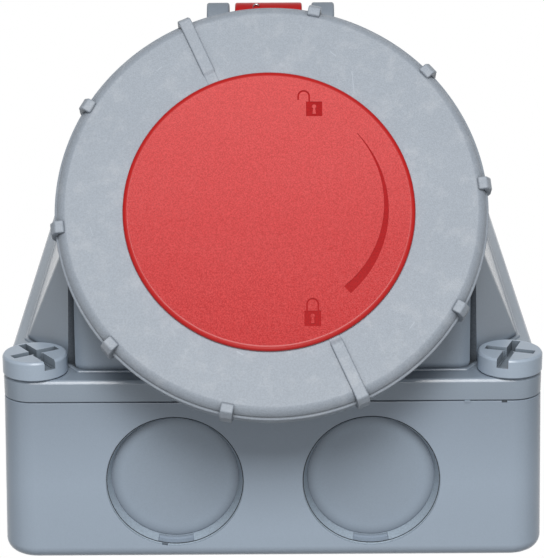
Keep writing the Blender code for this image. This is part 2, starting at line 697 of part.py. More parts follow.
def build_socket_body(grey, socket):
    """Collar, sleeve, flange, bayonet lugs and hinge ears, moulded as one."""
    groove_low = FLANGE_REAR - CLIP_HEIGHT - 2 * GAP
    groove = SLEEVE_BORE + CLIP_GROOVE
    profile = [
        (SLEEVE_BORE, COLLAR_HEIGHT),
        (SLEEVE_BORE, -SHOULDER_DEPTH),
        (SHOULDER_BORE, -SHOULDER_DEPTH),
        (SHOULDER_BORE, SHOULDER_REAR),
        (SLEEVE_BORE, SHOULDER_REAR),
        (SLEEVE_BORE, FLANGE_REAR),
        (groove, FLANGE_REAR),
        (groove, groove_low),
        (SLEEVE_BORE, groove_low),
        (SLEEVE_BORE, -SLEEVE_DEPTH),
        (SLEEVE_RADIUS, -SLEEVE_DEPTH),
        (SLEEVE_RADIUS, PLATE_REAR),
        (PLATE_RADIUS, PLATE_REAR),
        (PLATE_RADIUS, PLATE_FRONT - 0.4 * MM),
        (PLATE_RADIUS - 0.4 * MM, PLATE_FRONT),
        (SLEEVE_RADIUS, PLATE_FRONT),
        (SLEEVE_RADIUS, COLLAR_HEIGHT - 0.6 * MM),
        (SLEEVE_RADIUS - 0.6 * MM, COLLAR_HEIGHT),
    ]
    body = turned("socket_body", profile, BODY_STEPS, material=grey, parent=socket)
    stem = LUG_STEM_RADIUS - LUG_WALL
    lug = [
        (stem, PLATE_FRONT - 1 * MM),
        (LUG_STEM_RADIUS, PLATE_FRONT - 1 * MM),
        (LUG_STEM_RADIUS, LUG_UNDERSIDE),
        (LUG_RADIUS, LUG_UNDERSIDE + 0.3 * MM),
        (LUG_RADIUS, LUG_TOP - 0.4 * MM),
        (LUG_RADIUS - 0.4 * MM, LUG_TOP),
        (stem, LUG_TOP),
    ]
    ramp = [0, 0, -LUG_RAMP, -LUG_RAMP, 0, 0, 0]
    lugs = bmesh.new()
    for half_turn in (0, math.pi):
        lathe(lugs, lug, 8, start=LUG_START + half_turn, sweep=LUG_SPAN, rise=ramp)
    ears = bmesh.new()
    outer = EAR_INNER + EAR_WIDTH
    extrude(ears, ear_outline(), -outer, -EAR_INNER, axis="X")
    extrude(ears, ear_outline(), EAR_INNER, outer, axis="X")
    ear_object = make_object("hinge ears", ears, parent=socket)
    bevel(ear_object, 0.7 * MM, steps=2, angle=60)
    pin_bore = turned("ear bore", disc_profile(PIN_RADIUS + GAP, -2 * outer, 2 * outer), SMALL_STEPS)
    pin_bore.parent = socket
    pin_bore.location = (0, HINGE_RISE, HINGE_HEIGHT)
    pin_bore.rotation_euler = (0, math.pi / 2, 0)
    half = KEYWAY_WIDTH / 2
    key = rectangle(-half, half, -SLEEVE_BORE - KEYWAY_DEPTH, -SLEEVE_BORE + 3 * MM)
    sink = [
        (0, PLATE_REAR - 2 * MM),
        (BODY_SCREW_RADIUS + GAP, PLATE_REAR - 2 * MM),
        (BODY_SCREW_RADIUS + GAP, PLATE_FRONT - 2 * MM),
        (BODY_SCREW_HEAD + GAP, PLATE_FRONT - 0.2 * MM),
        (BODY_SCREW_HEAD + GAP, PLATE_FRONT + 2 * MM),
        (0, PLATE_FRONT + 2 * MM),
    ]
    boolean(body, make_object("bayonet lugs", lugs, parent=socket), "UNION")
    boolean(body, ear_object, "UNION")
    boolean(body, pin_bore)
    boolean(body, prism("keyway", key, 0.6 * MM - SHOULDER_DEPTH, COLLAR_HEIGHT + 2 * MM, parent=socket))
    boolean(body, bolt_circle("countersinks", sink, BODY_SCREW_ANGLES, BODY_SCREW_RING, socket))


def build_body_gasket(rubber, socket):
    inner = SLEEVE_RADIUS + 1 * MM
    outer = inner + BODY_GASKET_WIDTH
    profile = [(inner, GAP), (outer, GAP), (outer, PLATE_REAR - GAP), (inner, PLATE_REAR - GAP)]
    turned("body_gasket", profile, MIDDLE_STEPS, material=rubber, parent=socket)


def build_body_screws(steel, socket):
    profile = [
        (0, PLATE_FRONT - BODY_SCREW_LENGTH),
        (BODY_SCREW_RADIUS, PLATE_FRONT - BODY_SCREW_LENGTH),
        (BODY_SCREW_RADIUS, PLATE_FRONT - 2.2 * MM),
        (BODY_SCREW_HEAD, PLATE_FRONT - 0.5 * MM),
        (BODY_SCREW_HEAD, PLATE_FRONT - 0.1 * MM),
        (0, PLATE_FRONT - 0.1 * MM),
    ]
    for number, degrees in enumerate(BODY_SCREW_ANGLES, 1):
        angle = math.radians(degrees)
        place = (BODY_SCREW_RING * math.cos(angle), BODY_SCREW_RING * math.sin(angle), 0)
        name = f"body_screw_{number}"
        screw = turned(name, profile, SMALL_STEPS, material=steel, parent=socket, place=place)
        slot = rectangle(-2.2 * MM, 2.2 * MM, -0.5 * MM, 0.5 * MM)
        boolean(screw, prism(f"{name} slot", slot, PLATE_FRONT - 1.3 * MM, PLATE_FRONT + 1 * MM, parent=screw))


def contact_places():
    """Name, X, Y and bore of each contact, with the pilot contact on the axis."""
    places = []
    for name, degrees, bore in CONTACTS:
        angle = math.radians(degrees)
        places.append((name, CONTACT_RING * math.cos(angle), CONTACT_RING * math.sin(angle), bore))
    return [*places, ("pilot", 0.0, 0.0, PILOT_BORE)]


def contact_holes(name, low, high, extra, socket):
    """A hidden helper with one straight hole for each contact, wider than its bore by extra."""
    mesh_data = bmesh.new()
    for _, x, y, bore in contact_places():
        lathe(mesh_data, disc_profile(bore + extra, low, high), SMALL_STEPS, centre=(x, y), start=0.1)
    return make_object(name, mesh_data, parent=socket)


def build_carrier_front(black, socket):
    """The insulating front plate, which keeps the contacts from coming forward."""
    rear = CARRIER_FACE - CARRIER_FRONT
    profile = [
        (0, CARRIER_FACE),
        (CARRIER_RADIUS - 0.8 * MM, CARRIER_FACE),
        (CARRIER_RADIUS, CARRIER_FACE - 0.8 * MM),
        (CARRIER_RADIUS, rear),
        (0, rear),
    ]
    plate = turned("carrier_front", profile, MIDDLE_STEPS, material=black, parent=socket)
    holes = contact_holes("pin holes", rear - 3 * MM, CARRIER_FACE + 3 * MM, GAP, socket)
    boolean(plate, holes)


def build_contact_carrier(black, socket):
    """The insulating body behind it, with a flange that sits between shoulder and clip."""
    flange_front = SHOULDER_REAR - GAP
    flange_radius = SLEEVE_BORE - GAP
    rear_radius = CARRIER_RADIUS - CARRIER_REAR_STEP
    profile = [
        (0, CONTACT_FRONT),
        (CARRIER_RADIUS, CONTACT_FRONT),
        (CARRIER_RADIUS, flange_front),
        (flange_radius, flange_front),
        (flange_radius, FLANGE_REAR),
        (rear_radius, FLANGE_REAR),
        (rear_radius, -CARRIER_REAR),
        (0, -CARRIER_REAR),
    ]
    carrier = turned("contact_carrier", profile, MIDDLE_STEPS, material=black, parent=socket)
    low = -CARRIER_REAR - 3 * MM
    high = CONTACT_FRONT + 3 * MM
    boolean(carrier, contact_holes("sleeve holes", low, high, CONTACT_WALL + GAP, socket))


def build_carrier_clip(steel, socket):
    """A sprung ring with a gap, which snaps into the groove behind the carrier."""
    high = FLANGE_REAR - GAP
    low = high - CLIP_HEIGHT
    outer = SLEEVE_BORE + CLIP_GROOVE - GAP
    inner = outer - CLIP_WIDTH
    profile = [(inner, low), (outer, low), (outer, high), (inner, high)]
    opening = math.radians(24)
    start = math.pi / 2 + opening / 2
    turned(
        "carrier_clip",
        profile,
        MIDDLE_STEPS,
        start=start,
        sweep=math.tau - opening,
        material=steel,
        parent=socket,
    )


def build_contact(name, x, y, bore, brass, steel, socket):
    """A contact sleeve with the terminal behind it, and the screw that clamps the wire."""
    outer = bore + CONTACT_WALL
    head = -(CARRIER_REAR + GAP)
    end = head - TERMINAL_LENGTH
    block = outer + TERMINAL_WALL
    wire = 0.78 * bore
    profile = [
        (0, -CONTACT_BORE_DEPTH),
        (bore, -CONTACT_BORE_DEPTH),
        (bore, CONTACT_FRONT),
        (outer, CONTACT_FRONT),
        (outer, head),
        (block, head),
        (block, end),
        (wire, end),
        (wire, end + 0.75 * TERMINAL_LENGTH),
        (0, end + 0.75 * TERMINAL_LENGTH),
    ]
    place = (x, y, 0)
    contact = turned(f"contact_{name}", profile, SMALL_STEPS, material=brass, parent=socket, place=place)
    angle = math.atan2(y, x) if (x, y) != (0, 0) else math.pi / 2
    middle = end + 0.36 * TERMINAL_LENGTH
    radius = TERMINAL_SCREW_RADIUS
    hole = turned(
        f"{name} screw hole", disc_profile(radius + GAP, 0, 2 * block), TINY_STEPS, parent=contact
    )
    hole.location = (0, 0, middle)
    hole.rotation_euler = (0, math.pi / 2, angle)
    boolean(contact, hole)
    start = 0.45 * wire
    tip = block + 0.9 * MM
    shape = [(0, start), (radius, start), (radius, tip - 0.3 * MM), (radius - 0.3 * MM, tip), (0, tip)]
    title = f"terminal_screw_{name}"
    screw = turned(title, shape, TINY_STEPS, material=steel, parent=socket, place=(x, y, middle))
    screw.rotation_euler = (0, math.pi / 2, angle)
    slot = rectangle(-2 * radius, 2 * radius, -0.35 * MM, 0.35 * MM)
    boolean(screw, prism(f"{name} screw slot", slot, tip - 0.9 * MM, tip + 1 * MM, parent=screw))


def build_hinge_pin(steel, socket):
    half = EAR_INNER + EAR_WIDTH - 0.2 * MM
    nose = 0.4 * MM
    profile = [
        (0, -half),
        (PIN_RADIUS - nose, -half),
        (PIN_RADIUS, nose - half),
        (PIN_RADIUS, half - nose),
        (PIN_RADIUS - nose, half),
        (0, half),
    ]
    pin = turned("hinge_pin", profile, SMALL_STEPS, material=steel, parent=socket)
    pin.location = (0, HINGE_RISE, HINGE_HEIGHT)
    pin.rotation_euler = (0, math.pi / 2, 0)


def spring_path():
    """Points of the lid spring round its axis, which lies along X: the coil and two legs."""
    first = math.radians(135)
    sweep = -math.tau * SPRING_TURNS - math.radians(225)
    steps = 11 * SPRING_TURNS + 6
    points = []
    for k in range(steps + 1):
        angle = first + sweep * k / steps
        x = SPRING_LENGTH * (k / steps - 0.5)
        points.append(Vector((x, SPRING_COIL * math.cos(angle), SPRING_COIL * math.sin(angle))))
    leg = Vector((0, -SPRING_LEG, 0))
    return [points[0] + leg, *points, points[-1] + leg]


def tube(mesh_data, path, radius, sides):
    """A round wire along a path, with closed ends."""
    loops = []
    for k, point in enumerate(path):
        ahead = path[min(k + 1, len(path) - 1)] - path[max(k - 1, 0)]
        ahead.normalize()
        across = ahead.cross(Vector((1, 0, 0))).normalized()
        beside = ahead.cross(across)
        loop = []
        for side in range(sides):
            angle = math.tau * side / sides
            offset = across * math.cos(angle) + beside * math.sin(angle)
            loop.append(mesh_data.verts.new(point + radius * offset))
        loops.append(loop)
    for lower, upper in zip(loops, loops[1:]):
        join_loops(mesh_data, lower, upper)
    mesh_data.faces.new(loops[0])
    mesh_data.faces.new(reversed(loops[-1]))


def build_lid_spring(steel, hinge):
    mesh_data = bmesh.new()
    tube(mesh_data, spring_path(), SPRING_WIRE, 5)
    make_object("lid_spring", mesh_data, material=steel, parent=hinge, place=(KNUCKLE_SIDE, 0, 0))


def knuckle_cutters(hinge):
    """Cutters for the pocket that holds the spring, its open side and the pin's bore."""
    half = SPRING_LENGTH / 2 + SPRING_WIRE + SPRING_SIDE_PLAY
    left = KNUCKLE_SIDE - half
    right = KNUCKLE_SIDE + half
    pocket = bmesh.new()
    radius = SPRING_COIL + SPRING_WIRE + 0.7 * MM
    extrude(pocket, arc((0, 0), radius, 0, 342, 19), left, right, axis="X")
    mouth = bmesh.new()
    opening = rectangle(-9 * MM, -1 * MM, -9 * MM, ARM_UNDERSIDE - HINGE_HEIGHT)
    extrude(mouth, opening, left, right, axis="X")
    bore = disc_profile(PIN_RADIUS + GAP, -KNUCKLE_WIDTH, KNUCKLE_WIDTH)
    pin_bore = turned("knuckle bore", bore, SMALL_STEPS, parent=hinge)
    pin_bore.rotation_euler = (0, math.pi / 2, 0)
    return (
        make_object("spring pocket", pocket, parent=hinge),
        make_object("spring mouth", mouth, parent=hinge),
        pin_bore,
    )


def build_lid_body(red, hinge, place):
    """The lid behind the ring, with its skirt, seal groove, hinge arm and knuckle."""
    groove = LID_SEAL_WIDTH / 2 + GAP
    deep = LID_REAR + LID_SEAL_GROOVE
    profile = [
        (0, LID_FRONT),
        (0, LID_REAR),
        (SEAL_MIDDLE - groove, LID_REAR),
        (SEAL_MIDDLE - groove, deep),
        (SEAL_MIDDLE + groove, deep),
        (SEAL_MIDDLE + groove, LID_REAR),
        (LID_BORE, LID_REAR),
        (LID_BORE, PLATE_FRONT + 2 * GAP),
        (LID_RADIUS, PLATE_FRONT + 2 * GAP),
        (LID_RADIUS, LID_FRONT - 1 * MM),
        (LID_RADIUS - 1 * MM, LID_FRONT),
    ]
    lid = turned("lid_body", profile, BODY_STEPS, material=red, parent=hinge, place=place)
    start = LID_RADIUS - LID_SAG - 2 * MM - HINGE_RISE
    low = ARM_UNDERSIDE - HINGE_HEIGHT
    high = ARM_TOP - HINGE_HEIGHT
    outline = [
        (start, low),
        (0.8 * MM - HINGE_RADIUS, low),
        *arc((0, 0), HINGE_RADIUS, 160, 440, 20),
        (-1 * MM, high),
        (start, high),
    ]
    arm = bmesh.new()
    half = KNUCKLE_WIDTH / 2
    extrude(arm, outline, KNUCKLE_SIDE - half, KNUCKLE_SIDE + half, axis="X")
    arm_object = make_object("hinge arm", arm, parent=hinge)
    bevel(arm_object, 0.5 * MM, steps=1, angle=60)
    boolean(lid, arm_object, "UNION")
    for cutter in knuckle_cutters(hinge):
        boolean(lid, cutter)


def build_lid_disc(red, hinge, place):
    """The face plate, whose spigot passes through the locking ring and keeps it on the lid."""
    low = RING_FACE + GAP
    top = low + DISC_THICKNESS
    foot = LID_FRONT + GAP
    profile = [
        (0, top),
        (0, low - 1.1 * MM),
        (SPIGOT_RADIUS - SPIGOT_WALL, low - 1.1 * MM),
        (SPIGOT_RADIUS - SPIGOT_WALL, foot),
        (SPIGOT_RADIUS, foot),
        (SPIGOT_RADIUS, low),
        (DISC_RADIUS, low),
        (DISC_RADIUS, top - 0.6 * DISC_BEVEL),
        (DISC_RADIUS - 0.4 * DISC_BEVEL, top - 0.2 * DISC_BEVEL),
        (DISC_RADIUS - DISC_BEVEL, top),
    ]
    turned("lid_disc", profile, RING_STEPS, material=red, parent=hinge, place=place)


def build_lid_seal(rubber, hinge, place):
    inner = SEAL_MIDDLE - LID_SEAL_WIDTH / 2
    outer = SEAL_MIDDLE + LID_SEAL_WIDTH / 2
    low = COLLAR_HEIGHT + GAP
    high = LID_REAR + LID_SEAL_GROOVE - GAP
    profile = [(inner, low), (outer, low), (outer, high), (inner, high)]
    turned("lid_seal", profile, MIDDLE_STEPS, material=rubber, parent=hinge, place=place)


def ring_profile():
    """Section of the locking ring: flat face, rounded edge, groove, lip and tapered skirt."""
    bore = SPIGOT_RADIUS + SPIGOT_CLEARANCE
    edge = RING_RADIUS - RING_GROOVE
    shoulder = RING_FACE - RING_ROUND_DEPTH
    groove = shoulder - 0.3 * MM
    lip = groove - 0.5 * MM
    corner = []
    for share, height in arc((0, 0), 1, 0, 90, 4):
        corner.append((edge - RING_ROUND * (1 - share), shoulder + RING_ROUND_DEPTH * height))
    return [
        (bore, RING_FACE - RING_FACE_WALL),
        (RING_INNER, RING_FACE - RING_FACE_WALL),
        (RING_INNER, RING_REAR),
        (RING_RADIUS - RING_TAPER, RING_REAR),
        (RING_RADIUS - 0.6 * MM, lip - RING_LIP - 0.5 * MM),
        (RING_RADIUS, lip - RING_LIP),
        (RING_RADIUS, lip),
        (edge - 0.5 * MM, groove),
        (edge - 0.5 * MM, shoulder),
        *corner,
        (bore + 0.6 * MM, RING_FACE),
        (bore, RING_FACE - 0.6 * MM),
    ]


def grip_outline(long_rib):
    """Side view of a grip as (radius, height) pairs. A long rib runs in to the lid's face plate,
    and slopes down to the ring's face there, to pass under the plate in any position."""
    top = RING_FACE + GRIP_RISE
    foot = top - GRIP_DEPTH
    outer = RING_RADIUS + GRIP_PROUD
    if long_rib:
        start = DISC_RADIUS + RIB_CLEARANCE
        end = [(start + RIB_RAMP, top), (start, RING_FACE - 0.2 * MM)]
    else:
        start = RING_RADIUS - GRIP_REACH
        end = [(start + 0.5 * MM, top)]
    return [
        (start, RING_FACE - 1 * MM),
        (RING_INNER + 1 * MM, RING_FACE - 1 * MM),
        (RING_INNER + 1 * MM, foot),
        (outer - 0.8 * MM, foot),
        (outer, foot + 2 * MM),
        (outer, top - 2.2 * MM),
        (outer - 1.4 * MM, top),
        *end,
    ]


def build_locking_ring(grey, axis, place):
    """The turning ring, with grips all round, two long ribs, and claws that pass the lugs."""
    ring = turned("locking_ring", ring_profile(), RING_STEPS, material=grey, parent=axis, place=place)
    half = GRIP_WIDTH / 2
    for number in range(GRIP_COUNT):
        grip = bmesh.new()
        outline = grip_outline(long_rib=number % (GRIP_COUNT // 2) == 0)
        extrude(grip, outline, -half, half, axis="X")
        helper = make_object(f"grip {number}", grip, parent=axis, place=place)
        turn = GRIP_TURN + math.tau * number / GRIP_COUNT
        helper.rotation_euler = (0, 0, turn - math.pi / 2)
        bevel(helper, 0.4 * MM, steps=1, angle=60)
        boolean(ring, helper, "UNION")
    claws = bmesh.new()
    far = RING_INNER + 0.6 * MM
    high = RING_REAR + CLAW_HEIGHT
    profile = [(CLAW_RADIUS, RING_REAR), (far, RING_REAR), (far, high), (CLAW_RADIUS, high)]
    for half_turn in (0, math.pi):
        lathe(claws, profile, 8, start=CLAW_START + half_turn, sweep=CLAW_SPAN)
    boolean(ring, make_object("claws", claws, parent=axis, place=place), "UNION")


def main():
    clear_scene()
    grey = make_material("grey_housing", (0.42, 0.46, 0.51), 0.42)
    ring_grey = make_material("light_grey", (0.47, 0.52, 0.57), 0.45)
    red = make_material("red_lid", (0.75, 0.04, 0.035), 0.42)
    black = make_material("black_insulator", (0.03, 0.03, 0.032), 0.5)
    rubber = make_material("black_rubber", (0.02, 0.02, 0.02), 0.75)
    brass = make_material("brass", (0.72, 0.53, 0.24), 0.3, 1.0)
    steel = make_material("steel", (0.62, 0.63, 0.65), 0.28, 1.0)

    socket = make_frame("socket_frame", SOCKET_PLACE, SOCKET_TURN)
    hinge = make_frame("lid_hinge", (0, HINGE_RISE, HINGE_HEIGHT), parent=socket)
    lid_place = (LID_SIDE, -HINGE_RISE - LID_SAG, -HINGE_HEIGHT)
    ring_axis = make_frame("ring_axis", (0, -HINGE_RISE, -HINGE_HEIGHT), parent=hinge)

    build_back_box(grey)
    build_box_gasket(rubber)
    build_cover_hood(grey, socket)
    for number, (name, x, z, wide_angle) in enumerate(screw_places(), 1):
        build_cover_screw(name, x, z, wide_angle, grey)
        build_screw_seal(number, x, z, rubber)
    build_socket_body(grey, socket)
    build_body_gasket(rubber, socket)
    build_body_screws(steel, socket)
    build_carrier_front(black, socket)
    build_contact_carrier(black, socket)
    build_carrier_clip(steel, socket)
    for name, x, y, bore in contact_places():
        build_contact(name, x, y, bore, brass, steel, socket)
    build_hinge_pin(steel, socket)
    build_lid_spring(steel, hinge)
    build_lid_body(red, hinge, lid_place)
    build_lid_disc(red, hinge, lid_place)
    build_lid_seal(rubber, hinge, lid_place)
    build_locking_ring(ring_grey, ring_axis, (0, 0, 0))


main()
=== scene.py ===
import json
import math

import bmesh
import bpy
from mathutils import Matrix, Vector


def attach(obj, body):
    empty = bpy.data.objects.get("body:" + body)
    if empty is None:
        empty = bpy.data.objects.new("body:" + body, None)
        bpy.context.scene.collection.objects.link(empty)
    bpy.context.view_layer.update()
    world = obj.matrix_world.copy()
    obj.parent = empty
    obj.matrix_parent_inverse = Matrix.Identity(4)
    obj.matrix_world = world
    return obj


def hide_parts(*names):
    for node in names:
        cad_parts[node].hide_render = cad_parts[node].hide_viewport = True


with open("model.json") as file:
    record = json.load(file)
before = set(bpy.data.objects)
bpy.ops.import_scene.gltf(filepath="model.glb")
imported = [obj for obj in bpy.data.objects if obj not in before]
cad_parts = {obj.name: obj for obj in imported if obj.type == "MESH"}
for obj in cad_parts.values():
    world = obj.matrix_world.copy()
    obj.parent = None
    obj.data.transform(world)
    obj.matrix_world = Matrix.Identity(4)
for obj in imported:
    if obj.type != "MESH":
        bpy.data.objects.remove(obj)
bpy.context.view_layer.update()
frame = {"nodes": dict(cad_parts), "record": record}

# All sizes below are in millimetres, and each piece is scaled to metres when it is finished.
# Most names and values are those of the CAD model, so that every piece stays where its node is.

# Back box
BOX_WIDTH = 160.0
BOX_HEIGHT = 220.0
BOX_DEPTH = 50.0
BOX_SPREAD = 1.1
BOX_CORNER = 9.0
BOX_WALL = 3.5
REAR_ROUND = 4.0
CORNER_STEPS = 10
TONGUE_INSET = 2.0
TONGUE_WALL = 1.4
TONGUE_RISE = 2.3
FIXING_X = 58
FIXING_Z = 82
FIXING_RADIUS = 3.0
FIXING_DEPTH = 2.5

# Knockouts
KNOCKOUT_RADIUS = 20.25
KNOCKOUT_RIM = 20.62
KNOCKOUT_LINE = 20.46
KNOCKOUT_TAPER = 1.15
KNOCKOUT_DEPTH = 3.3
KNOCKOUT_PAD = 21.95
KNOCKOUT_GAP = 11.2
KNOCKOUT_SIDE = 29.3
KNOCKOUT_FROM_WALL = 25.0

# Cover with its hood
COVER_REAR = 50.3
COVER_FRONT = 57.0
COVER_PLATE = 2.3
SKIRT_WALL = 1.6
HOOD_SIDE_MARGIN = 3.8
HOOD_END_MARGIN = 7.8
HOOD_SLOPE = math.radians(21.5)
HOOD_DRAFT = math.radians(1.5)
HOOD_ROUND = 3.2
HOOD_WALL = 3.0
HOOD_FOOT = 0.55
CREST_BELOW_HINGE = 12.0
NOTCH_WIDTH = 18.5
NOTCH_HEIGHT = 29.7

# Cover screws
SCREW_X = 70.5
SCREW_Z = 101.7
SCREW_HOLE = 3.3
SEAL_SEAT = 5.6
BOSS_RADIUS = 6.4
HEAD_RADIUS = 9.6
HEAD_LOW = 0.3
HEAD_TOP = 6.1
SLOT_DEPTH = 3.0

# Socket body, with heights along the socket's axis
SLEEVE_BORE = 36.5
SLEEVE_RADIUS = 40.0
SLEEVE_END = -39.5
NECK_BORE = 40.7
NECK_RADIUS = 44.5
PLATE_REAR = 1.5
PLATE_FRONT = 5.0
PLATE_RADIUS = 52.0
PLATE_ROUND = 0.6
COLLAR_HEIGHT = 14.5
BODY_SCREW_RING = 47.6
BODY_SCREW_ANGLES = (-14, 72, 108, 194)

# Hinge
HINGE_RISE = 65.2
HINGE_HEIGHT = 2.5
HINGE_RADIUS = 5.6
HINGE_BORE = 2.3
EAR_INNER = 12.4
EAR_OUTER = 19.2
KNUCKLE_SIDE = -0.6
KNUCKLE_HALF = 10.1
POCKET_HALF = 4.8
POCKET_RADIUS = 4.2
COIL_RADIUS = 3.0
COIL_LENGTH = 6.4
COIL_WIRE = 0.5

# Lid
LID_SIDE = -0.75
LID_SAG = 1.5
LID_BORE = 42.0
LID_RADIUS = 44.5
LID_REAR = 15.8
LID_FRONT = 18.4
SPIGOT_RADIUS = 37.6
SPIGOT_WALL = 2.4
DISC_RADIUS = 42.0
DISC_LOW = 22.3
DISC_TOP = 23.5
DISC_BEVEL = 1.4

# Locking ring
RING_BORE = 39.6
RING_INNER = 59.6
RING_RADIUS = 62.6
RING_REAR = 8.4
RING_FACE = 22.0
RING_WALL = 3.2
GRIP_TURN = math.radians(-66.1)
GRIP_OUTER = 63.8
GRIP_TOP = 22.8
GRIP_HALF_WIDTH = 1.85

# Steps round a circle: the rings that the photo shows, the lid and its ring, and small bores
ROUND_STEPS = 128
FINE_STEPS = 256
SMALL_STEPS = 32

SOCKET_TURN = math.radians(145.65)
SOCKET = Matrix.Translation((0, -98.0, -91.55)) @ Matrix.Rotation(SOCKET_TURN, 4, "X")
OUT = Vector((0, -math.sin(SOCKET_TURN), math.cos(SOCKET_TURN)))
UP = Vector((0, math.cos(SOCKET_TURN), math.sin(SOCKET_TURN)))
HINGE = SOCKET @ Matrix.Translation((0, HINGE_RISE, HINGE_HEIGHT))
LID = SOCKET @ Matrix.Translation((LID_SIDE, -LID_SAG, 0))
LID_MIDDLE = (LID @ Vector((0, 0, DISC_TOP))).dot(UP)
FRONT_FACE = Matrix.Rotation(math.pi / 2, 4, "X")
TO_METRES = Matrix.Scale(0.001, 4)
FLAT_ANGLE = math.radians(30)

CAMERA_PLACE = Vector((0, -0.2912, -0.7384))
CAMERA_FORWARD = Vector((0, 0.3074, 0.9516))
CAMERA_UP = Vector((0, -0.9516, 0.3074))
CAMERA_RIGHT = CAMERA_FORWARD.cross(CAMERA_UP).normalized()
CAMERA_LENS = 146.97
CAMERA_ROLL = math.radians(-0.331)


# ---------------------------------------------------------------- shapes


def arc(centre, radius, first, last, steps):
    """Points on a circle from one angle to another, in degrees."""
    points = []
    for k in range(steps + 1):
        angle = math.radians(first + (last - first) * k / steps)
        points.append((centre[0] + radius * math.cos(angle), centre[1] + radius * math.sin(angle)))
    return points


def rectangle(x_low, x_high, y_low, y_high):
    return [(x_low, y_low), (x_high, y_low), (x_high, y_high), (x_low, y_high)]


def join_loops(mesh, lower, upper, closed=True):
    """Faces between two loops of points, where a loop of one point is a pole."""
    count = max(len(lower), len(upper))
    for i in range(count if closed else count - 1):
        j = (i + 1) % count
        corners = []
        for loop, k in ((lower, i), (lower, j), (upper, j), (upper, i)):
            corner = loop[k % len(loop)]
            if corner not in corners:
                corners.append(corner)
        if len(corners) > 2:
            mesh.faces.new(corners)


def lathe(mesh, profile, steps, centre=(0, 0), start=0.0, sweep=None):
    """Turns a closed outline of (radius, height) pairs round Z, or makes a sector of it."""
    whole = sweep is None
    turns = steps if whole else steps + 1
    loops = []
    for radius, height in profile:
        if radius == 0:
            loops.append([mesh.verts.new((*centre, height))])
            continue
        loop = []
        for k in range(turns):
            angle = start + (math.tau if whole else sweep) * k / steps
            x = centre[0] + radius * math.cos(angle)
            y = centre[1] + radius * math.sin(angle)
            loop.append(mesh.verts.new((x, y, height)))
        loops.append(loop)
    for lower, upper in zip(loops, loops[1:] + loops[:1]):
        if len(lower) > 1 or len(upper) > 1:
            join_loops(mesh, lower, upper, closed=whole)
    if not whole:
        mesh.faces.new([loop[0] for loop in loops])
        mesh.faces.new([loop[-1] for loop in reversed(loops)])


def extrude(mesh, outline, low, high, axis="Z"):
    """A prism on a flat outline. Along X the outline is given as (Y, Z) pairs."""

    def point(a, b, along):
        return (along, a, b) if axis == "X" else (a, b, along)

    lower = [mesh.verts.new(point(a, b, low)) for a, b in outline]
    upper = [mesh.verts.new(point(a, b, high)) for a, b in outline]
    join_loops(mesh, lower, upper)
    mesh.faces.new(lower)
    mesh.faces.new(reversed(upper))


def disc(radius, low, high):
    return [(0, low), (radius, low), (radius, high), (0, high)]


def shape(mesh, place=None, material=None):
    """A bmesh as a working object in millimetres."""
    bmesh.ops.recalc_face_normals(mesh, faces=mesh.faces)
    data = bpy.data.meshes.new("working")
    mesh.to_mesh(data)
    mesh.free()
    if place is not None:
        data.transform(place)
    obj = bpy.data.objects.new("working", data)
    bpy.context.collection.objects.link(obj)
    if material is not None:
        data.materials.append(material)
    return obj


def turned(profile, steps, place=None, material=None, **options):
    mesh = bmesh.new()
    lathe(mesh, profile, steps, **options)
    return shape(mesh, place, material)


def prism(outline, low, high, axis="Z", place=None, material=None):
    mesh = bmesh.new()
    extrude(mesh, outline, low, high, axis)
    return shape(mesh, place, material)


def apply_modifiers(obj):
    bpy.context.view_layer.update()
    evaluated = obj.evaluated_get(bpy.context.evaluated_depsgraph_get())
    data = bpy.data.meshes.new_from_object(evaluated)
    obj.modifiers.clear()
    obj.data = data


def rounded(obj, width, steps=3, angle=30, weighted=False):
    modifier = obj.modifiers.new("rounded", "BEVEL")
    modifier.width = width
    modifier.segments = steps
    modifier.limit_method = "WEIGHT" if weighted else "ANGLE"
    modifier.angle_limit = math.radians(angle)
    apply_modifiers(obj)
    return obj


def carve(obj, steps):
    """Adds to or cuts from obj, as a list of (operation, other) pairs. The others are used up."""
    for number, (operation, other) in enumerate(steps):
        modifier = obj.modifiers.new(f"step {number}", "BOOLEAN")
        modifier.operation = operation
        modifier.object = other
        modifier.solver = "EXACT"
        modifier.material_mode = "TRANSFER"
    apply_modifiers(obj)
    for _, other in steps:
        bpy.data.objects.remove(other, do_unlink=True)
    return obj


def merge(objects):
    """One mesh of several working objects."""
    mesh = bmesh.new()
    materials = []
    for obj in objects:
        offset = len(materials)
        part = bmesh.new()
        part.from_mesh(obj.data)
        for face in part.faces:
            face.material_index += offset
        data = bpy.data.meshes.new("part")
        part.to_mesh(data)
        part.free()
        mesh.from_mesh(data)
        materials.extend(obj.data.materials[:] or [None])
        bpy.data.objects.remove(obj, do_unlink=True)
    data = bpy.data.meshes.new("merged")
    mesh.to_mesh(data)
    mesh.free()
    for material in materials:
        data.materials.append(material)
    result = bpy.data.objects.new("merged", data)
    bpy.context.collection.objects.link(result)
    return result


def piece(name, obj, body, material, nodes=(), place=None):
    """Finishes a working object: metres, smooth shading, flat faces kept flat, material, body, and
    its CAD nodes hidden.
    """
    data = obj.data
    if place is not None:
        data.transform(place)
    data.transform(TO_METRES)
    data.polygons.foreach_set("use_smooth", [True] * len(data.polygons))
    data.set_sharp_from_angle(angle=FLAT_ANGLE)
    if not any(data.materials):
        data.materials.clear()
        data.materials.append(material)
    obj.name = name
    data.name = name
    weighted = obj.modifiers.new("flat faces stay flat", "WEIGHTED_NORMAL")
    weighted.keep_sharp = True
    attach(obj, body)
    if nodes:
        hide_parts(*nodes)
    return obj


# ---------------------------------------------------------------- materials


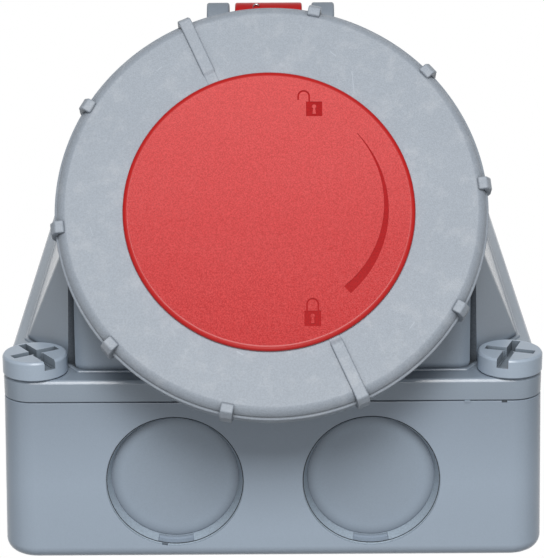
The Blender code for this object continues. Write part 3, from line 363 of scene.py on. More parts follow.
class Nodes:
    """Writes the nodes of a material or a world. An input is a node's output or a constant."""

    def __init__(self, owner):
        owner.use_nodes = True
        self.owner = owner
        self.tree = owner.node_tree
        coordinates = self.tree.nodes.new("ShaderNodeTexCoord").outputs
        self.place = coordinates["Object"]
        self.direction = coordinates["Generated"]

    def feed(self, socket, value):
        if isinstance(value, bpy.types.NodeSocket):
            self.tree.links.new(value, socket)
        elif socket.type == "RGBA":
            socket.default_value = (*value, 1)
        else:
            socket.default_value = value

    def add(self, kind, inputs=None, **settings):
        node = self.tree.nodes.new(kind)
        for key, value in settings.items():
            setattr(node, key, value)
        for key, value in (inputs or {}).items():
            self.feed(node.inputs[key], value)
        return node

    def math(self, operation, *inputs):
        node = self.add("ShaderNodeMath", dict(enumerate(inputs)), operation=operation)
        return node.outputs["Value"]

    def vector(self, operation, *inputs):
        node = self.add("ShaderNodeVectorMath", dict(enumerate(inputs)), operation=operation)
        return node.outputs

    def noise(self, scale, detail=3.0, roughness=0.55, place=None):
        inputs = {"Scale": scale, "Detail": detail, "Roughness": roughness}
        inputs["Vector"] = place or self.place
        return self.add("ShaderNodeTexNoise", inputs).outputs["Fac"]

    def stretched(self, scale):
        inputs = {"Vector": self.place, "Scale": scale}
        return self.add("ShaderNodeMapping", inputs).outputs["Vector"]

    def span(self, source, low, high, to_low=0.0, to_high=1.0):
        """The source from low to high, as a value from to_low to to_high."""
        inputs = {"Value": source, "From Min": low, "From Max": high}
        inputs.update({"To Min": to_low, "To Max": to_high})
        return self.add("ShaderNodeMapRange", inputs).outputs["Result"]

    def mix(self, factor, first, second, blend="MIX"):
        inputs = {0: factor, 6: first, 7: second}
        return self.add("ShaderNodeMix", inputs, data_type="RGBA", blend_type=blend).outputs[2]

    def bump(self, height, depth, strength=1.0, normal=None):
        inputs = {"Height": height, "Strength": strength, "Distance": depth}
        if normal is not None:
            inputs["Normal"] = normal
        return self.add("ShaderNodeBump", inputs).outputs["Normal"]

    def segment(self, start, end, width):
        """1 on the line between two points, given in millimetres, and 0 away from it."""
        first = start / 1000
        along = end / 1000 - first
        away = self.vector("SUBTRACT", self.place, first)["Vector"]
        reach = self.vector("DOT_PRODUCT", away, along)["Value"]
        share = self.span(reach, 0.0, along.length_squared)
        nearest = self.add("ShaderNodeVectorMath", {0: along, "Scale": share}, operation="SCALE")
        gap = self.vector("DISTANCE", away, nearest.outputs["Vector"])["Value"]
        return self.span(gap, width / 1000, 0.4 * width / 1000)

    def surface(self, inputs):
        """Sets these inputs of the surface, and gives the finished material."""
        for key, value in inputs.items():
            self.feed(self.tree.nodes["Principled BSDF"].inputs[key], value)
        return self.owner


def tinted(colour, factor, offset=0.0):
    """A colour times a factor plus an offset, kept between 0 and 1."""
    return tuple(min(1.0, max(0.0, value * factor + offset)) for value in colour)


def moulded_plastic(
    name,
    colour,
    roughness=0.3,
    grain=2600.0,
    depth=0.00002,
    speckle=0.03,
    sparkle=0.0,
    gloss=0.5,
    smudge=0.0,
    corner_shade=0.0,
    wear_and_painted_light=None,
):
    """Moulded plastic with a spark-eroded grain, flow marks and wear.

    Grain and depth are how fine the grain is and how deep, in metres. Its specks differ by
    speckle, a share of the colour, and by sparkle, which is the same in all three colours.
    Smudge makes paler patches, and the corner shade is painted shade, darker in the surface's own
    corners and grooves. The last argument is a function that takes these nodes and a colour, and
    gives the colour with wear and painted light of its own."""
    nodes = Nodes(bpy.data.materials.new(name))
    specks = nodes.span(nodes.noise(grain, 2.0), 0.38, 0.62)
    blots = nodes.span(nodes.noise(grain * 0.5, 2.0), 0.35, 0.65)
    clouds = nodes.span(nodes.noise(45.0), 0.3, 0.7)
    patches = nodes.span(nodes.noise(160.0, 6.0, 0.7), 0.5, 0.68)
    light = tinted(colour, 1.0 + speckle, sparkle)
    dark = tinted(colour, 1.0 - speckle, -sparkle)
    clouded = nodes.mix(clouds, tinted(colour, 0.965), colour)
    blotted = nodes.mix(blots, tinted(colour, 0.97), light)
    shade = nodes.mix(0.5, nodes.mix(0.35, clouded, blotted), nodes.mix(specks, dark, light))
    shade = nodes.mix(patches, shade, nodes.mix(smudge, shade, (0.95, 0.95, 0.95)))
    if wear_and_painted_light:
        shade = wear_and_painted_light(nodes, shade)
    # Painted shade: darker in the surface's own corners and grooves.
    if corner_shade:
        inputs = {"Distance": 0.0028}
        corners = nodes.add("ShaderNodeAmbientOcclusion", inputs, samples=6, only_local=True)
        share = nodes.span(corners.outputs["AO"], 0.3, 0.92, corner_shade, 0.0)
        shade = nodes.mix(share, shade, tinted(colour, 0.2))
    flow = nodes.noise(18.0, place=nodes.stretched((1.0, 1.0, 5.0)))
    grained = nodes.bump(nodes.noise(grain * 1.6, 2.0), depth)
    return nodes.surface({
        "Base Color": shade,
        "Roughness": nodes.span(flow, 0.25, 0.75, roughness - 0.03, roughness + 0.03),
        "Normal": nodes.bump(nodes.noise(35.0, 1.0), 0.0001, 0.12, grained),
        "IOR": 1.49,
        "Specular IOR Level": gloss,
    })


def toned(direction, low, high, blend, tint):
    """Painted light and shade: changes the colour along a direction, from low to high in
    millimetres.
    """

    def wear_and_painted_light(nodes, shade):
        along = nodes.vector("DOT_PRODUCT", nodes.place, direction)["Value"]
        return nodes.mix(nodes.span(along, low / 1000, high / 1000), shade, tint, blend)

    return wear_and_painted_light


def scratched(lines, colour):
    """Scratches as wear: (x, up, x, up, width) on the face of the ring, in millimetres."""

    def wear_and_painted_light(nodes, shade):
        for x, up, end_x, end_up, width in lines:
            start = SOCKET @ Vector((x, up, RING_FACE))
            end = SOCKET @ Vector((end_x, end_up, RING_FACE))
            share = nodes.math("MULTIPLY", nodes.segment(start, end, width), 0.55)
            shade = nodes.mix(share, shade, colour)
        return shade

    return wear_and_painted_light


def knockout_floor_shade(nodes, shade):
    """Painted shade: darkens the floor of a knockout towards its edge."""
    parts = nodes.add("ShaderNodeSeparateXYZ", {0: nodes.place}).outputs
    x = nodes.math("SUBTRACT", nodes.math("ABSOLUTE", parts["X"]), KNOCKOUT_SIDE / 1000)
    y = nodes.math("ADD", parts["Y"], KNOCKOUT_FROM_WALL / 1000)
    across = nodes.add("ShaderNodeCombineXYZ", {0: x, 1: y}).outputs["Vector"]
    radius = nodes.vector("LENGTH", across)["Value"]
    inside = nodes.span(radius, 0.0155, 0.0191)
    share = nodes.math("MULTIPLY", inside, nodes.span(radius, 0.0192, 0.0199, 1.0, 0.2))
    rim_shade = nodes.math("MULTIPLY", nodes.math("MULTIPLY", share, share), 0.75)
    return nodes.mix(rim_shade, shade, (0.1, 0.12, 0.15))


def rubber(name):
    nodes = Nodes(bpy.data.materials.new(name))
    grain = nodes.noise(1800.0)
    dust = nodes.span(nodes.noise(120.0), 0.4, 0.75)
    return nodes.surface({
        "Base Color": nodes.mix(dust, (0.012, 0.012, 0.013), (0.035, 0.034, 0.032)),
        "Roughness": nodes.span(grain, 0.3, 0.7, 0.62, 0.82),
        "Normal": nodes.bump(grain, 0.00004),
    })


def metal(name, colour, tarnish, roughness):
    """Turned or drawn metal with fine tool marks and slightly dull patches."""
    nodes = Nodes(bpy.data.materials.new(name))
    marks = nodes.noise(900.0, place=nodes.stretched((1.0, 6.0, 6.0)))
    patches = nodes.span(nodes.noise(150.0), 0.45, 0.75)
    return nodes.surface({
        "Base Color": nodes.mix(patches, colour, tarnish),
        "Roughness": nodes.span(marks, 0.3, 0.7, roughness - 0.07, roughness + 0.09),
        "Normal": nodes.bump(marks, 0.00003),
        "Metallic": 1.0,
    })


GREY = moulded_plastic(
    "housing grey",
    (0.385, 0.462, 0.555),
    corner_shade=0.55,
    # Painted shade: darker towards the joint with the cover.
    wear_and_painted_light=toned(Vector((0, -1, 0)), 24, 51, "MULTIPLY", (0.76, 0.76, 0.765)),
)
COVER_GREY = moulded_plastic(
    "cover grey", (0.305, 0.363, 0.432), roughness=0.24, depth=0.00001, corner_shade=0.6
)
SCREW_GREY = moulded_plastic("screw grey", (0.41, 0.49, 0.585), corner_shade=0.5)
# Painted shade: the slots of the screw heads are darker than the screws' own grey.
SLOT_SHADE_GREY = moulded_plastic(
    "slot shade grey", (0.25, 0.3, 0.355), grain=2000.0, depth=0.00003, speckle=0.1, gloss=0.4, corner_shade=0.85
)
BODY_GREY = moulded_plastic(
    "socket grey", (0.25, 0.29, 0.34), roughness=0.5, speckle=0.04, gloss=0.25
)
RING_COLOUR = (0.336, 0.378, 0.432)
SCRATCHES = (
    (23.7, 41.0, 24.2, 34.4, 0.16),
    (-9.9, -43.4, -8.4, -44.3, 0.3),
    (17.5, 47.2, 19.0, 45.9, 0.22),
    (-33.4, 41.5, -31.8, 42.8, 0.14),
    (38.8, -36.9, 40.1, -35.2, 0.18),
    (-52.1, -6.0, -51.3, -8.6, 0.12),
)
RING_GREY = moulded_plastic(
    "ring grey",
    RING_COLOUR,
    roughness=0.45,
    grain=2300.0,
    depth=0.00006,
    speckle=0.12,
    gloss=0.35,
    smudge=0.1,
    corner_shade=0.6,
    wear_and_painted_light=scratched(SCRATCHES, tinted(RING_COLOUR, 1.2, 0.1)),
)
BAND = moulded_plastic(
    "knockout grey", (0.39, 0.465, 0.54), roughness=0.5, grain=1800.0, depth=0.00008, speckle=0.15
)
# Painted shade: the sunk floor is darker than the housing grey, and darker still towards its edge.
KNOCKOUT_FLOOR = moulded_plastic(
    "knockout floor", (0.325, 0.39, 0.468), roughness=0.35, speckle=0.04, wear_and_painted_light=knockout_floor_shade
)
# Painted shade: a near-black grey that lines grooves, gaps and dents where shade falls.
PAINTED_SHADE = moulded_plastic(
    "recess painted shade",
    (0.115, 0.135, 0.16),
    roughness=0.5,
    grain=2000.0,
    depth=0.00005,
    speckle=0.2,
    gloss=0.3,
    corner_shade=0.8,
)
RED = moulded_plastic(
    "lid red",
    (0.515, 0.0, 0.001),
    roughness=0.42,
    grain=2500.0,
    depth=0.0001,
    speckle=0.18,
    sparkle=0.042,
    gloss=0.25,
    # Painted sheen: paler towards the upper end of the lid.
    wear_and_painted_light=toned(UP, LID_MIDDLE - 40, LID_MIDDLE + 40, "ADD", (0.13, 0.053, 0.051)),
)
RED_SMOOTH = moulded_plastic(
    "edge red",
    (0.5, 0.016, 0.015),
    roughness=0.32,
    grain=3000.0,
    depth=0.00001,
    speckle=0.04,
    gloss=0.3,
)
RED_MARK = moulded_plastic(
    "engraved red",
    (0.4, 0.005, 0.007),
    roughness=0.45,
    grain=2200.0,
    depth=0.00003,
    speckle=0.2,
    gloss=0.08,
)
BLACK = moulded_plastic(
    "insulator black",
    (0.022, 0.022, 0.024),
    roughness=0.45,
    grain=2400.0,
    depth=0.00003,
    speckle=0.2,
)
RUBBER = rubber("seal rubber")
BRASS = metal("contact brass", (0.78, 0.56, 0.24), (0.6, 0.4, 0.16), 0.28)
STEEL = metal("plated steel", (0.66, 0.67, 0.69), (0.5, 0.5, 0.5), 0.26)

SLOT_MATERIALS = {
    "grey_housing": GREY,
    "light_grey": RING_GREY,
    "red_lid": RED,
    "black_insulator": BLACK,
    "black_rubber": RUBBER,
    "brass": BRASS,
    "steel": STEEL,
}
for subpart in frame["record"]["subparts"]:
    node = frame["nodes"][subpart["node"]]
    for material_slot in node.material_slots:
        material_slot.material = SLOT_MATERIALS[subpart["material_slot"]]


# ---------------------------------------------------------------- housing


def housing_loop(mesh, depth, inset):
    """One round-cornered rectangle of the housing, at a depth in front of the wall."""
    half_x = BOX_WIDTH / 2 - inset
    half_z = BOX_HEIGHT / 2 - inset
    corner = max(BOX_CORNER - inset, 1.0)
    loop = []
    for x_sign, z_sign, first in ((1, 1, 0), (-1, 1, 90), (-1, -1, 180), (1, -1, 270)):
        centre = (x_sign * (half_x - corner), z_sign * (half_z - corner))
        for x, z in arc(centre, corner, first, first + 90, CORNER_STEPS):
            loop.append(mesh.verts.new((x, -depth, z)))
    return loop


def housing_solid(sections):
    mesh = bmesh.new()
    loops = [housing_loop(mesh, depth, inset) for depth, inset in sections]
    for lower, upper in zip(loops, loops[1:]):
        join_loops(mesh, lower, upper)
    mesh.faces.new(loops[0])
    mesh.faces.new(reversed(loops[-1]))
    return shape(mesh)


def housing_band(low, high, inset, width):
    mesh = bmesh.new()
    corners = ((low, inset), (high, inset), (high, inset + width), (low, inset + width))
    loops = [housing_loop(mesh, depth, inward) for depth, inward in corners]
    for lower, upper in zip(loops, loops[1:] + loops[:1]):
        join_loops(mesh, lower, upper)
    return shape(mesh)


def posts(radius, low, high, half_x=SCREW_X, half_z=SCREW_Z):
    """Four cylinders off the wall, on the cover screws unless other places are given."""
    mesh = bmesh.new()
    for x in (-half_x, half_x):
        for z in (-half_z, half_z):
            lathe(mesh, disc(radius, low, high), SMALL_STEPS, centre=(x, -z))
    return shape(mesh, FRONT_FACE)


def wall_disc(side, profile, steps, material=None, **sector):
    """Turns (radius, depth) pairs round both knockouts of one wall, with depths into the wall."""
    mesh = bmesh.new()
    outline = [(radius, side * (BOX_HEIGHT / 2 - depth)) for radius, depth in profile]
    for x in (-KNOCKOUT_SIDE, KNOCKOUT_SIDE):
        lathe(mesh, outline, steps, centre=(x, -KNOCKOUT_FROM_WALL), **sector)
    return shape(mesh, material=material)


def knockouts(side):
    """The two knockouts of one wall: pad behind, tapered rim, a thin groove of painted shade round
    it, and gap.
    """
    floor = KNOCKOUT_RADIUS - KNOCKOUT_TAPER
    rim = [
        (0, -3),
        (KNOCKOUT_RIM, -3),
        (KNOCKOUT_RIM, 0.0),
        (KNOCKOUT_RIM - 0.14, 0.12),
        (KNOCKOUT_RADIUS - 0.1, 0.14),
        (floor, KNOCKOUT_DEPTH + 0.35),
        (floor - 0.3, KNOCKOUT_DEPTH + 0.35),
        (floor - 0.32, KNOCKOUT_DEPTH),
        (0, KNOCKOUT_DEPTH),
    ]
    line = rectangle(KNOCKOUT_LINE - 0.26, KNOCKOUT_LINE, -1, 0.6)
    gap = rectangle(14.0, KNOCKOUT_RADIUS + 0.05, -3, KNOCKOUT_DEPTH)
    sweep = KNOCKOUT_GAP / (KNOCKOUT_RIM - 0.02)
    start = (math.pi - sweep) / 2
    return [
        ("UNION", wall_disc(side, disc(KNOCKOUT_PAD, BOX_WALL / 2, BOX_WALL + 1.5), 48)),
        ("DIFFERENCE", wall_disc(side, rim, ROUND_STEPS, BAND)),
        ("DIFFERENCE", wall_disc(side, line, ROUND_STEPS, PAINTED_SHADE)),
        ("DIFFERENCE", wall_disc(side, gap, 12, KNOCKOUT_FLOOR, start=start, sweep=sweep)),
    ]


def joint_marks():
    """Three small marks that the underside has: a flash and a dent on the joint, and a tick. The
    dent is lined with painted shade.
    """
    bottom = -BOX_HEIGHT / 2
    flash = rectangle(56.6, 58.3, -BOX_DEPTH - 0.25, 0.4 - BOX_DEPTH)
    dent = rectangle(67.6, 69.2, -BOX_DEPTH - 0.4, 0.5 - BOX_DEPTH)
    tick = [(-33.7, -5.1), (-31.6, -4.7), (-32.7, -3.5)]
    return [
        ("UNION", prism(flash, bottom - 0.25, bottom + 0.5, material=BAND)),
        ("DIFFERENCE", prism(dent, bottom - 0.5, bottom + 0.5, material=PAINTED_SHADE)),
        ("DIFFERENCE", prism(tick, bottom - 1, bottom + 0.3, material=COVER_GREY)),
    ]


def build_back_box():
    sections = []
    for run, rise in reversed(arc((0, 0), REAR_ROUND, 0, 90, 7)):
        sections.append((REAR_ROUND - rise, REAR_ROUND - run - BOX_SPREAD))
    sections += [(BOX_DEPTH - 0.3, 0), (BOX_DEPTH - 0.08, 0.08), (BOX_DEPTH, 0.3)]
    box = housing_solid(sections)
    box.data.materials.append(GREY)
    inside = housing_solid([(BOX_WALL, BOX_WALL), (BOX_DEPTH + 5, BOX_WALL)])
    tongue = housing_band(BOX_DEPTH - 2, BOX_DEPTH + TONGUE_RISE, TONGUE_INSET, TONGUE_WALL)
    fixings = posts(FIXING_RADIUS, -2, FIXING_DEPTH, FIXING_X, FIXING_Z)
    steps = [
        ("DIFFERENCE", inside),
        ("UNION", posts(BOSS_RADIUS, BOX_WALL / 2, BOX_DEPTH - 3)),
        ("UNION", tongue),
        ("DIFFERENCE", posts(SCREW_HOLE, BOX_DEPTH - 32, BOX_DEPTH + 9)),
        *knockouts(-1),
        *knockouts(1),
        ("DIFFERENCE", fixings),
        *joint_marks(),
    ]
    carve(box, steps)
    band = box.data.materials.find(BAND.name)
    floor = box.data.materials.find(KNOCKOUT_FLOOR.name)
    for polygon in box.data.polygons:
        if polygon.material_index == band and abs(polygon.normal.z) > 0.9:
            sunk = abs(polygon.center.z) < BOX_HEIGHT / 2 - 1
            polygon.material_index = floor if sunk else 0
    piece("back_box_shell", box, "housing", GREY, ["back_box"])


def cut_convex(planes, reach=500.0):
    """A block cut by planes, each given as (point, outward direction)."""
    mesh = bmesh.new()
    bmesh.ops.create_cube(mesh, size=2 * reach)
    for point, outward in planes:
        geometry = mesh.verts[:] + mesh.edges[:] + mesh.faces[:]
        cut = bmesh.ops.bisect_plane(
            mesh, geom=geometry, plane_co=point, plane_no=outward, clear_outer=True
        )
        rim = [item for item in cut["geom_cut"] if isinstance(item, bmesh.types.BMEdge)]
        bmesh.ops.contextual_create(mesh, geom=rim)
    return mesh


def hood_planes(inset, depth):
    """The faces of the hood, moved inward by inset, from its base at depth."""
    half_x = BOX_WIDTH / 2 - HOOD_SIDE_MARGIN
    base = -COVER_FRONT
    socket_place = SOCKET.to_translation()
    crest = socket_place + (HINGE_RISE - CREST_BELOW_HINGE) * UP
    bottom = HOOD_END_MARGIN - BOX_HEIGHT / 2
    roof_foot = Vector((0, base, -bottom))
    roof_normal = Vector((0, -(roof_foot.z - crest.z), roof_foot.y - crest.y)).normalized()
    bottom_normal = Vector((0, -math.sin(HOOD_DRAFT), -math.cos(HOOD_DRAFT)))
    planes = [
        (Vector((0, -depth, 0)), Vector((0, 1, 0))),
        (socket_place - 0.5 * OUT, OUT),
        (crest, roof_normal),
        (Vector((0, base, bottom)), bottom_normal),
    ]
    for side in (-1, 1):
        slope = Vector((side * math.cos(HOOD_SLOPE), -math.sin(HOOD_SLOPE), 0))
        planes.append((Vector((side * half_x, base, 0)), slope))
        for end in (-1, 1):
            corner = Vector((side * (half_x - NOTCH_WIDTH), base, -end * bottom))
            wall = Vector((side * NOTCH_HEIGHT, 0, end * NOTCH_WIDTH)).normalized()
            planes.append((corner, wall))
    return [(point - inset * normal * (k > 0), normal) for k, (point, normal) in enumerate(planes)]


def hood_shell():
    """The hood, with less rounding on the edges between its sides and its cut-back corners."""
    mesh = cut_convex(hood_planes(0, COVER_FRONT - 1))
    weights = mesh.edges.layers.float.new("bevel_weight_edge")
    for rib in mesh.edges:
        sideways = all(abs(face.normal.x) > 0.5 for face in rib.link_faces)
        lean = sorted(abs(face.normal.z) for face in rib.link_faces)
        rib[weights] = 0.28 if sideways and lean[0] < 0.1 < lean[1] else 1.0
    return rounded(shape(mesh), HOOD_ROUND, 7, weighted=True)


def hood_foot():
    """The low step round the foot of the hood."""
    planes = hood_planes(-HOOD_FOOT, COVER_FRONT - 1.2)
    planes.append((Vector((0, -(COVER_FRONT + 0.5), 0)), Vector((0, -1, 0))))
    return rounded(shape(cut_convex(planes)), 0.45, 3, 20)


def corner_grooves():
    """A groove in each cut-back corner of the hood, by its rounded edge, that runs out upward. It
    is lined with painted shade.
    """
    sections = ((COVER_FRONT + 0.6, 4.6, 2.4), (72, 3.6, 2.2), (108, 1.6, 0.0))
    mesh = bmesh.new()
    for side in (-1, 1):
        for end in (-1, 1):
            corner = Vector((side * (BOX_WIDTH / 2 - HOOD_SIDE_MARGIN - NOTCH_WIDTH), 0))
            corner.y = end * (BOX_HEIGHT / 2 - HOOD_END_MARGIN)
            outward = Vector((side * NOTCH_HEIGHT, end * NOTCH_WIDTH)).normalized()
            along = Vector((side * NOTCH_WIDTH, -end * NOTCH_HEIGHT)).normalized()
            loops = []
            for depth, width, sunk in sections:
                loop = []
                section = ((2.1, 0.8), (2.1 + width, 0.8), (1.9 + width, -sunk), (2.3, -sunk))
                for reach, height in section:
                    point = corner + reach * along + height * outward
                    loop.append(mesh.verts.new((point.x, -depth, point.y)))
                loops.append(loop)
            for lower, upper in zip(loops, loops[1:]):
                join_loops(mesh, lower, upper)
            mesh.faces.new(loops[0])
            mesh.faces.new(reversed(loops[-1]))
    return shape(mesh, material=PAINTED_SHADE)


def build_cover():
    behind = BOX_DEPTH - 6
    # The front edge, as (how far behind the front, inset). Its flat facet mirrors the key lamp.
    front_edge = (
        (1.16, 0.0),
        (1.06, 0.02),
        (0.96, 0.06),
        (0.4, 0.38),
        (0.3, 0.46),
        (0.14, 0.66),
        (0.03, 0.86),
        (0, 1.0),
    )
    sections = [(COVER_REAR, 0.3), (COVER_REAR + 0.08, 0.08), (COVER_REAR + 0.3, 0)]
    sections += [(COVER_FRONT - back, inset) for back, inset in front_edge]
    cover = housing_solid(sections)
    cover.data.materials.append(COVER_GREY)
    neck = turned(disc(NECK_RADIUS, -30, 0), ROUND_STEPS, place=SOCKET)
    half_step = math.pi / ROUND_STEPS
    bore = turned(disc(NECK_BORE, -60, 5), ROUND_STEPS, place=SOCKET, start=half_step)
    carve(
        cover,
        [
            ("UNION", hood_foot()),
            ("UNION", hood_shell()),
            ("DIFFERENCE", shape(cut_convex(hood_planes(HOOD_WALL, behind - 3)))),
            ("UNION", neck),
            ("DIFFERENCE", housing_solid([(-5, -30), (COVER_REAR, -30)])),
            ("UNION", posts(BOSS_RADIUS, COVER_REAR + 0.01, COVER_FRONT - 1)),
            ("DIFFERENCE", housing_band(behind - 1, COVER_FRONT - COVER_PLATE, SKIRT_WALL, 2.8)),
            ("DIFFERENCE", posts(SCREW_HOLE, 0, COVER_FRONT + 9)),
            ("DIFFERENCE", posts(SEAL_SEAT, COVER_FRONT - 1.7, COVER_FRONT + 9)),
            ("DIFFERENCE", bore),
            ("DIFFERENCE", corner_grooves()),
        ],
    )
    piece("cover_shell", cover, "housing", COVER_GREY, ["cover_hood"])


def build_cover_screws():
    places = (
        ("lower_left", -SCREW_X, -SCREW_Z, -57),
        ("lower_right", SCREW_X, -SCREW_Z, -109),
        ("upper_left", -SCREW_X, SCREW_Z, 35),
        ("upper_right", SCREW_X, SCREW_Z, 160),
    )
    rim = ((0.0, 0.8), (0.05, 0.68), (0.3, 0.25), (0.4, 0.13), (0.6, 0.03), (0.8, 0.0))
    profile = [
        (0, -26),
        (2, -26),
        (3, -24),
        (3, HEAD_LOW),
        (HEAD_RADIUS - 0.3, HEAD_LOW),
        (HEAD_RADIUS, HEAD_LOW + 0.3),
        *[(HEAD_RADIUS - inward, HEAD_TOP - down) for inward, down in rim],
        (0, HEAD_TOP),
    ]
    floor = HEAD_TOP - SLOT_DEPTH
    for name, x, z, degrees in places:
        head = turned(profile, 96, material=SCREW_GREY)
        slot_turn = Matrix.Rotation(math.radians(degrees), 4, "Z")
        cross_turn = Matrix.Rotation(math.radians(degrees + 90), 4, "Z")
        slots = (
            (rectangle(-8.2, 8.6, -1.3, 1.3), floor, slot_turn),
            (rectangle(1.9, 10.4, -1.75, 1.75), floor + 0.35, slot_turn),
            (rectangle(-7.4, 7.4, -1.45, 1.45), floor + 0.2, cross_turn),
        )
        steps = []
        for outline, low, turn in slots:
            cutter = prism(outline, low, HEAD_TOP + 1, place=turn, material=SLOT_SHADE_GREY)
            steps.append(("DIFFERENCE", cutter))
        carve(head, steps)
        rounded(head, 0.16, 2, 50)
        place = Matrix.Translation((x, -COVER_FRONT, z)) @ FRONT_FACE
        node = f"cover_screw_{name}"
        piece(f"{node}_head", head, "housing", SCREW_GREY, [node], place=place)


# ---------------------------------------------------------------- socket and lid


def build_socket_body():
    shoulder = [(SLEEVE_BORE, -27.5), (33.5, -27.5), (33.5, -29.7), (SLEEVE_BORE, -29.7)]
    groove = [(SLEEVE_BORE, -35.1), (37.9, -35.1), (37.9, -37.5), (SLEEVE_BORE, -37.5)]
    plate_corner = (PLATE_RADIUS - PLATE_ROUND, PLATE_FRONT - PLATE_ROUND)
    collar_corner = (SLEEVE_RADIUS - PLATE_ROUND, COLLAR_HEIGHT - PLATE_ROUND)
    profile = [
        (SLEEVE_BORE, COLLAR_HEIGHT - 0.4),
        *shoulder,
        *groove,
        (SLEEVE_BORE, SLEEVE_END),
        (SLEEVE_RADIUS, SLEEVE_END),
        (SLEEVE_RADIUS, PLATE_REAR),
        (PLATE_RADIUS, PLATE_REAR),
        *arc(plate_corner, PLATE_ROUND, 0, 90, 4),
        (SLEEVE_RADIUS, PLATE_FRONT),
        *arc(collar_corner, PLATE_ROUND, 0, 90, 4),
        (SLEEVE_BORE + 0.4, COLLAR_HEIGHT),
    ]
    body = turned(profile, ROUND_STEPS, material=BODY_GREY)
    foot = PLATE_RADIUS - 2
    eye = arc((HINGE_RISE, HINGE_HEIGHT), HINGE_RADIUS, -120, 120, 40)
    outline = [(foot, PLATE_REAR), *eye, (foot, PLATE_FRONT)]
    ears = bmesh.new()
    extrude(ears, outline, -EAR_OUTER, -EAR_INNER, axis="X")
    extrude(ears, outline, EAR_INNER, EAR_OUTER, axis="X")
    lug = [
        (47.5, 4.0),
        (49.5, 4.0),
        (49.5, 11.0),
        (51.5, 11.3),
        (51.5, 12.8),
        (51.1, 13.2),
        (47.5, 13.2),
    ]
    lugs = bmesh.new()
    for half_turn in (0, math.pi):
        lathe(lugs, lug, 24, start=math.radians(25) + half_turn, sweep=math.radians(40))
    sinks = bmesh.new()
    sink = [(0, -0.5), (2.3, -0.5), (2.3, 3.0), (3.8, 4.8), (3.8, 7.0), (0, 7.0)]
    for degrees in BODY_SCREW_ANGLES:
        angle = math.radians(degrees)
        centre = (BODY_SCREW_RING * math.cos(angle), BODY_SCREW_RING * math.sin(angle))
        lathe(sinks, sink, SMALL_STEPS, centre=centre)
    hinge = Matrix.Translation((0, HINGE_RISE, HINGE_HEIGHT)) @ Matrix.Rotation(math.pi / 2, 4, "Y")
    pin_bore = turned(disc(HINGE_BORE, -40, 40), SMALL_STEPS, place=hinge, material=BODY_GREY)
    keyway = prism(rectangle(-3.5, 3.5, -38.5, -33.5), -26.9, 16.5, material=BODY_GREY)
    carve(
        body,
        [
            ("UNION", shape(lugs, material=BODY_GREY)),
            ("UNION", rounded(shape(ears, material=BODY_GREY), 0.7, 4, 60)),
            ("DIFFERENCE", pin_bore),
            ("DIFFERENCE", keyway),
            ("DIFFERENCE", shape(sinks, material=BODY_GREY)),
        ],
    )
    piece("outlet_body", body, "housing", BODY_GREY, ["socket_body"], place=SOCKET)


def build_lid_body():
    profile = [
        (0, LID_FRONT),
        (0, LID_REAR),
        (35.95, LID_REAR),
        (35.95, LID_REAR + 0.8),
        (40.55, LID_REAR + 0.8),
        (40.55, LID_REAR),
        (LID_BORE, LID_REAR),
        (LID_BORE, PLATE_FRONT + 0.6),
        (LID_RADIUS, PLATE_FRONT + 0.6),
        *arc((LID_RADIUS - 1, LID_FRONT - 1), 1, 0, 90, 5),
    ]
    lid = turned(profile, ROUND_STEPS, material=RED_SMOOTH)

    # The arm to the hinge with its knuckle, laid out from the hinge's axis.
    hinge = Matrix.Translation((-LID_SIDE, HINGE_RISE + LID_SAG, HINGE_HEIGHT))
    start = LID_RADIUS - LID_SAG - 2 - HINGE_RISE
    low = 5.4 - HINGE_HEIGHT
    high = 8.0 - HINGE_HEIGHT
    outline = [
        (start, low),
        (0.8 - HINGE_RADIUS, low),
        *arc((0, 0), HINGE_RADIUS, 160, 440, 48),
        (-1, high),
        (start, high),
    ]
    arm = prism(
        outline,
        KNUCKLE_SIDE - KNUCKLE_HALF,
        KNUCKLE_SIDE + KNUCKLE_HALF,
        axis="X",
        place=hinge,
        material=RED_SMOOTH,
    )
    steps = [("UNION", rounded(arm, 0.6, 3, 60))]
    for cut in (arc((0, 0), POCKET_RADIUS, 0, 354, 59), rectangle(-9, -1, -9, low)):
        left = KNUCKLE_SIDE - POCKET_HALF
        right = KNUCKLE_SIDE + POCKET_HALF
        pocket = prism(cut, left, right, axis="X", place=hinge, material=RED_SMOOTH)
        steps.append(("DIFFERENCE", pocket))
    across = hinge @ Matrix.Rotation(math.pi / 2, 4, "Y")
    pin_bore = turned(disc(HINGE_BORE, -22, 22), SMALL_STEPS, place=across, material=RED_SMOOTH)
    carve(lid, [*steps, ("DIFFERENCE", pin_bore)])
    piece("lid_shell", lid, "lid", RED_SMOOTH, ["lid_body"], place=LID)


def wire(path, radius, sides):
    """A round wire along a path, with closed ends."""
    mesh = bmesh.new()
    loops = []
    for k, point in enumerate(path):
        ahead = (path[min(k + 1, len(path) - 1)] - path[max(k - 1, 0)]).normalized()
        hint = Vector((1, 0, 0)) if abs(ahead.x) < 0.9 else Vector((0, 1, 0))
        across = ahead.cross(hint).normalized()
        beside = ahead.cross(across)
        loop = []
        for side in range(sides):
            angle = math.tau * side / sides
            outward = across * math.cos(angle) + beside * math.sin(angle)
            loop.append(mesh.verts.new(point + radius * outward))
        loops.append(loop)
    for lower, upper in zip(loops, loops[1:]):
        join_loops(mesh, lower, upper)
    mesh.faces.new(loops[0])
    mesh.faces.new(reversed(loops[-1]))
    return shape(mesh)


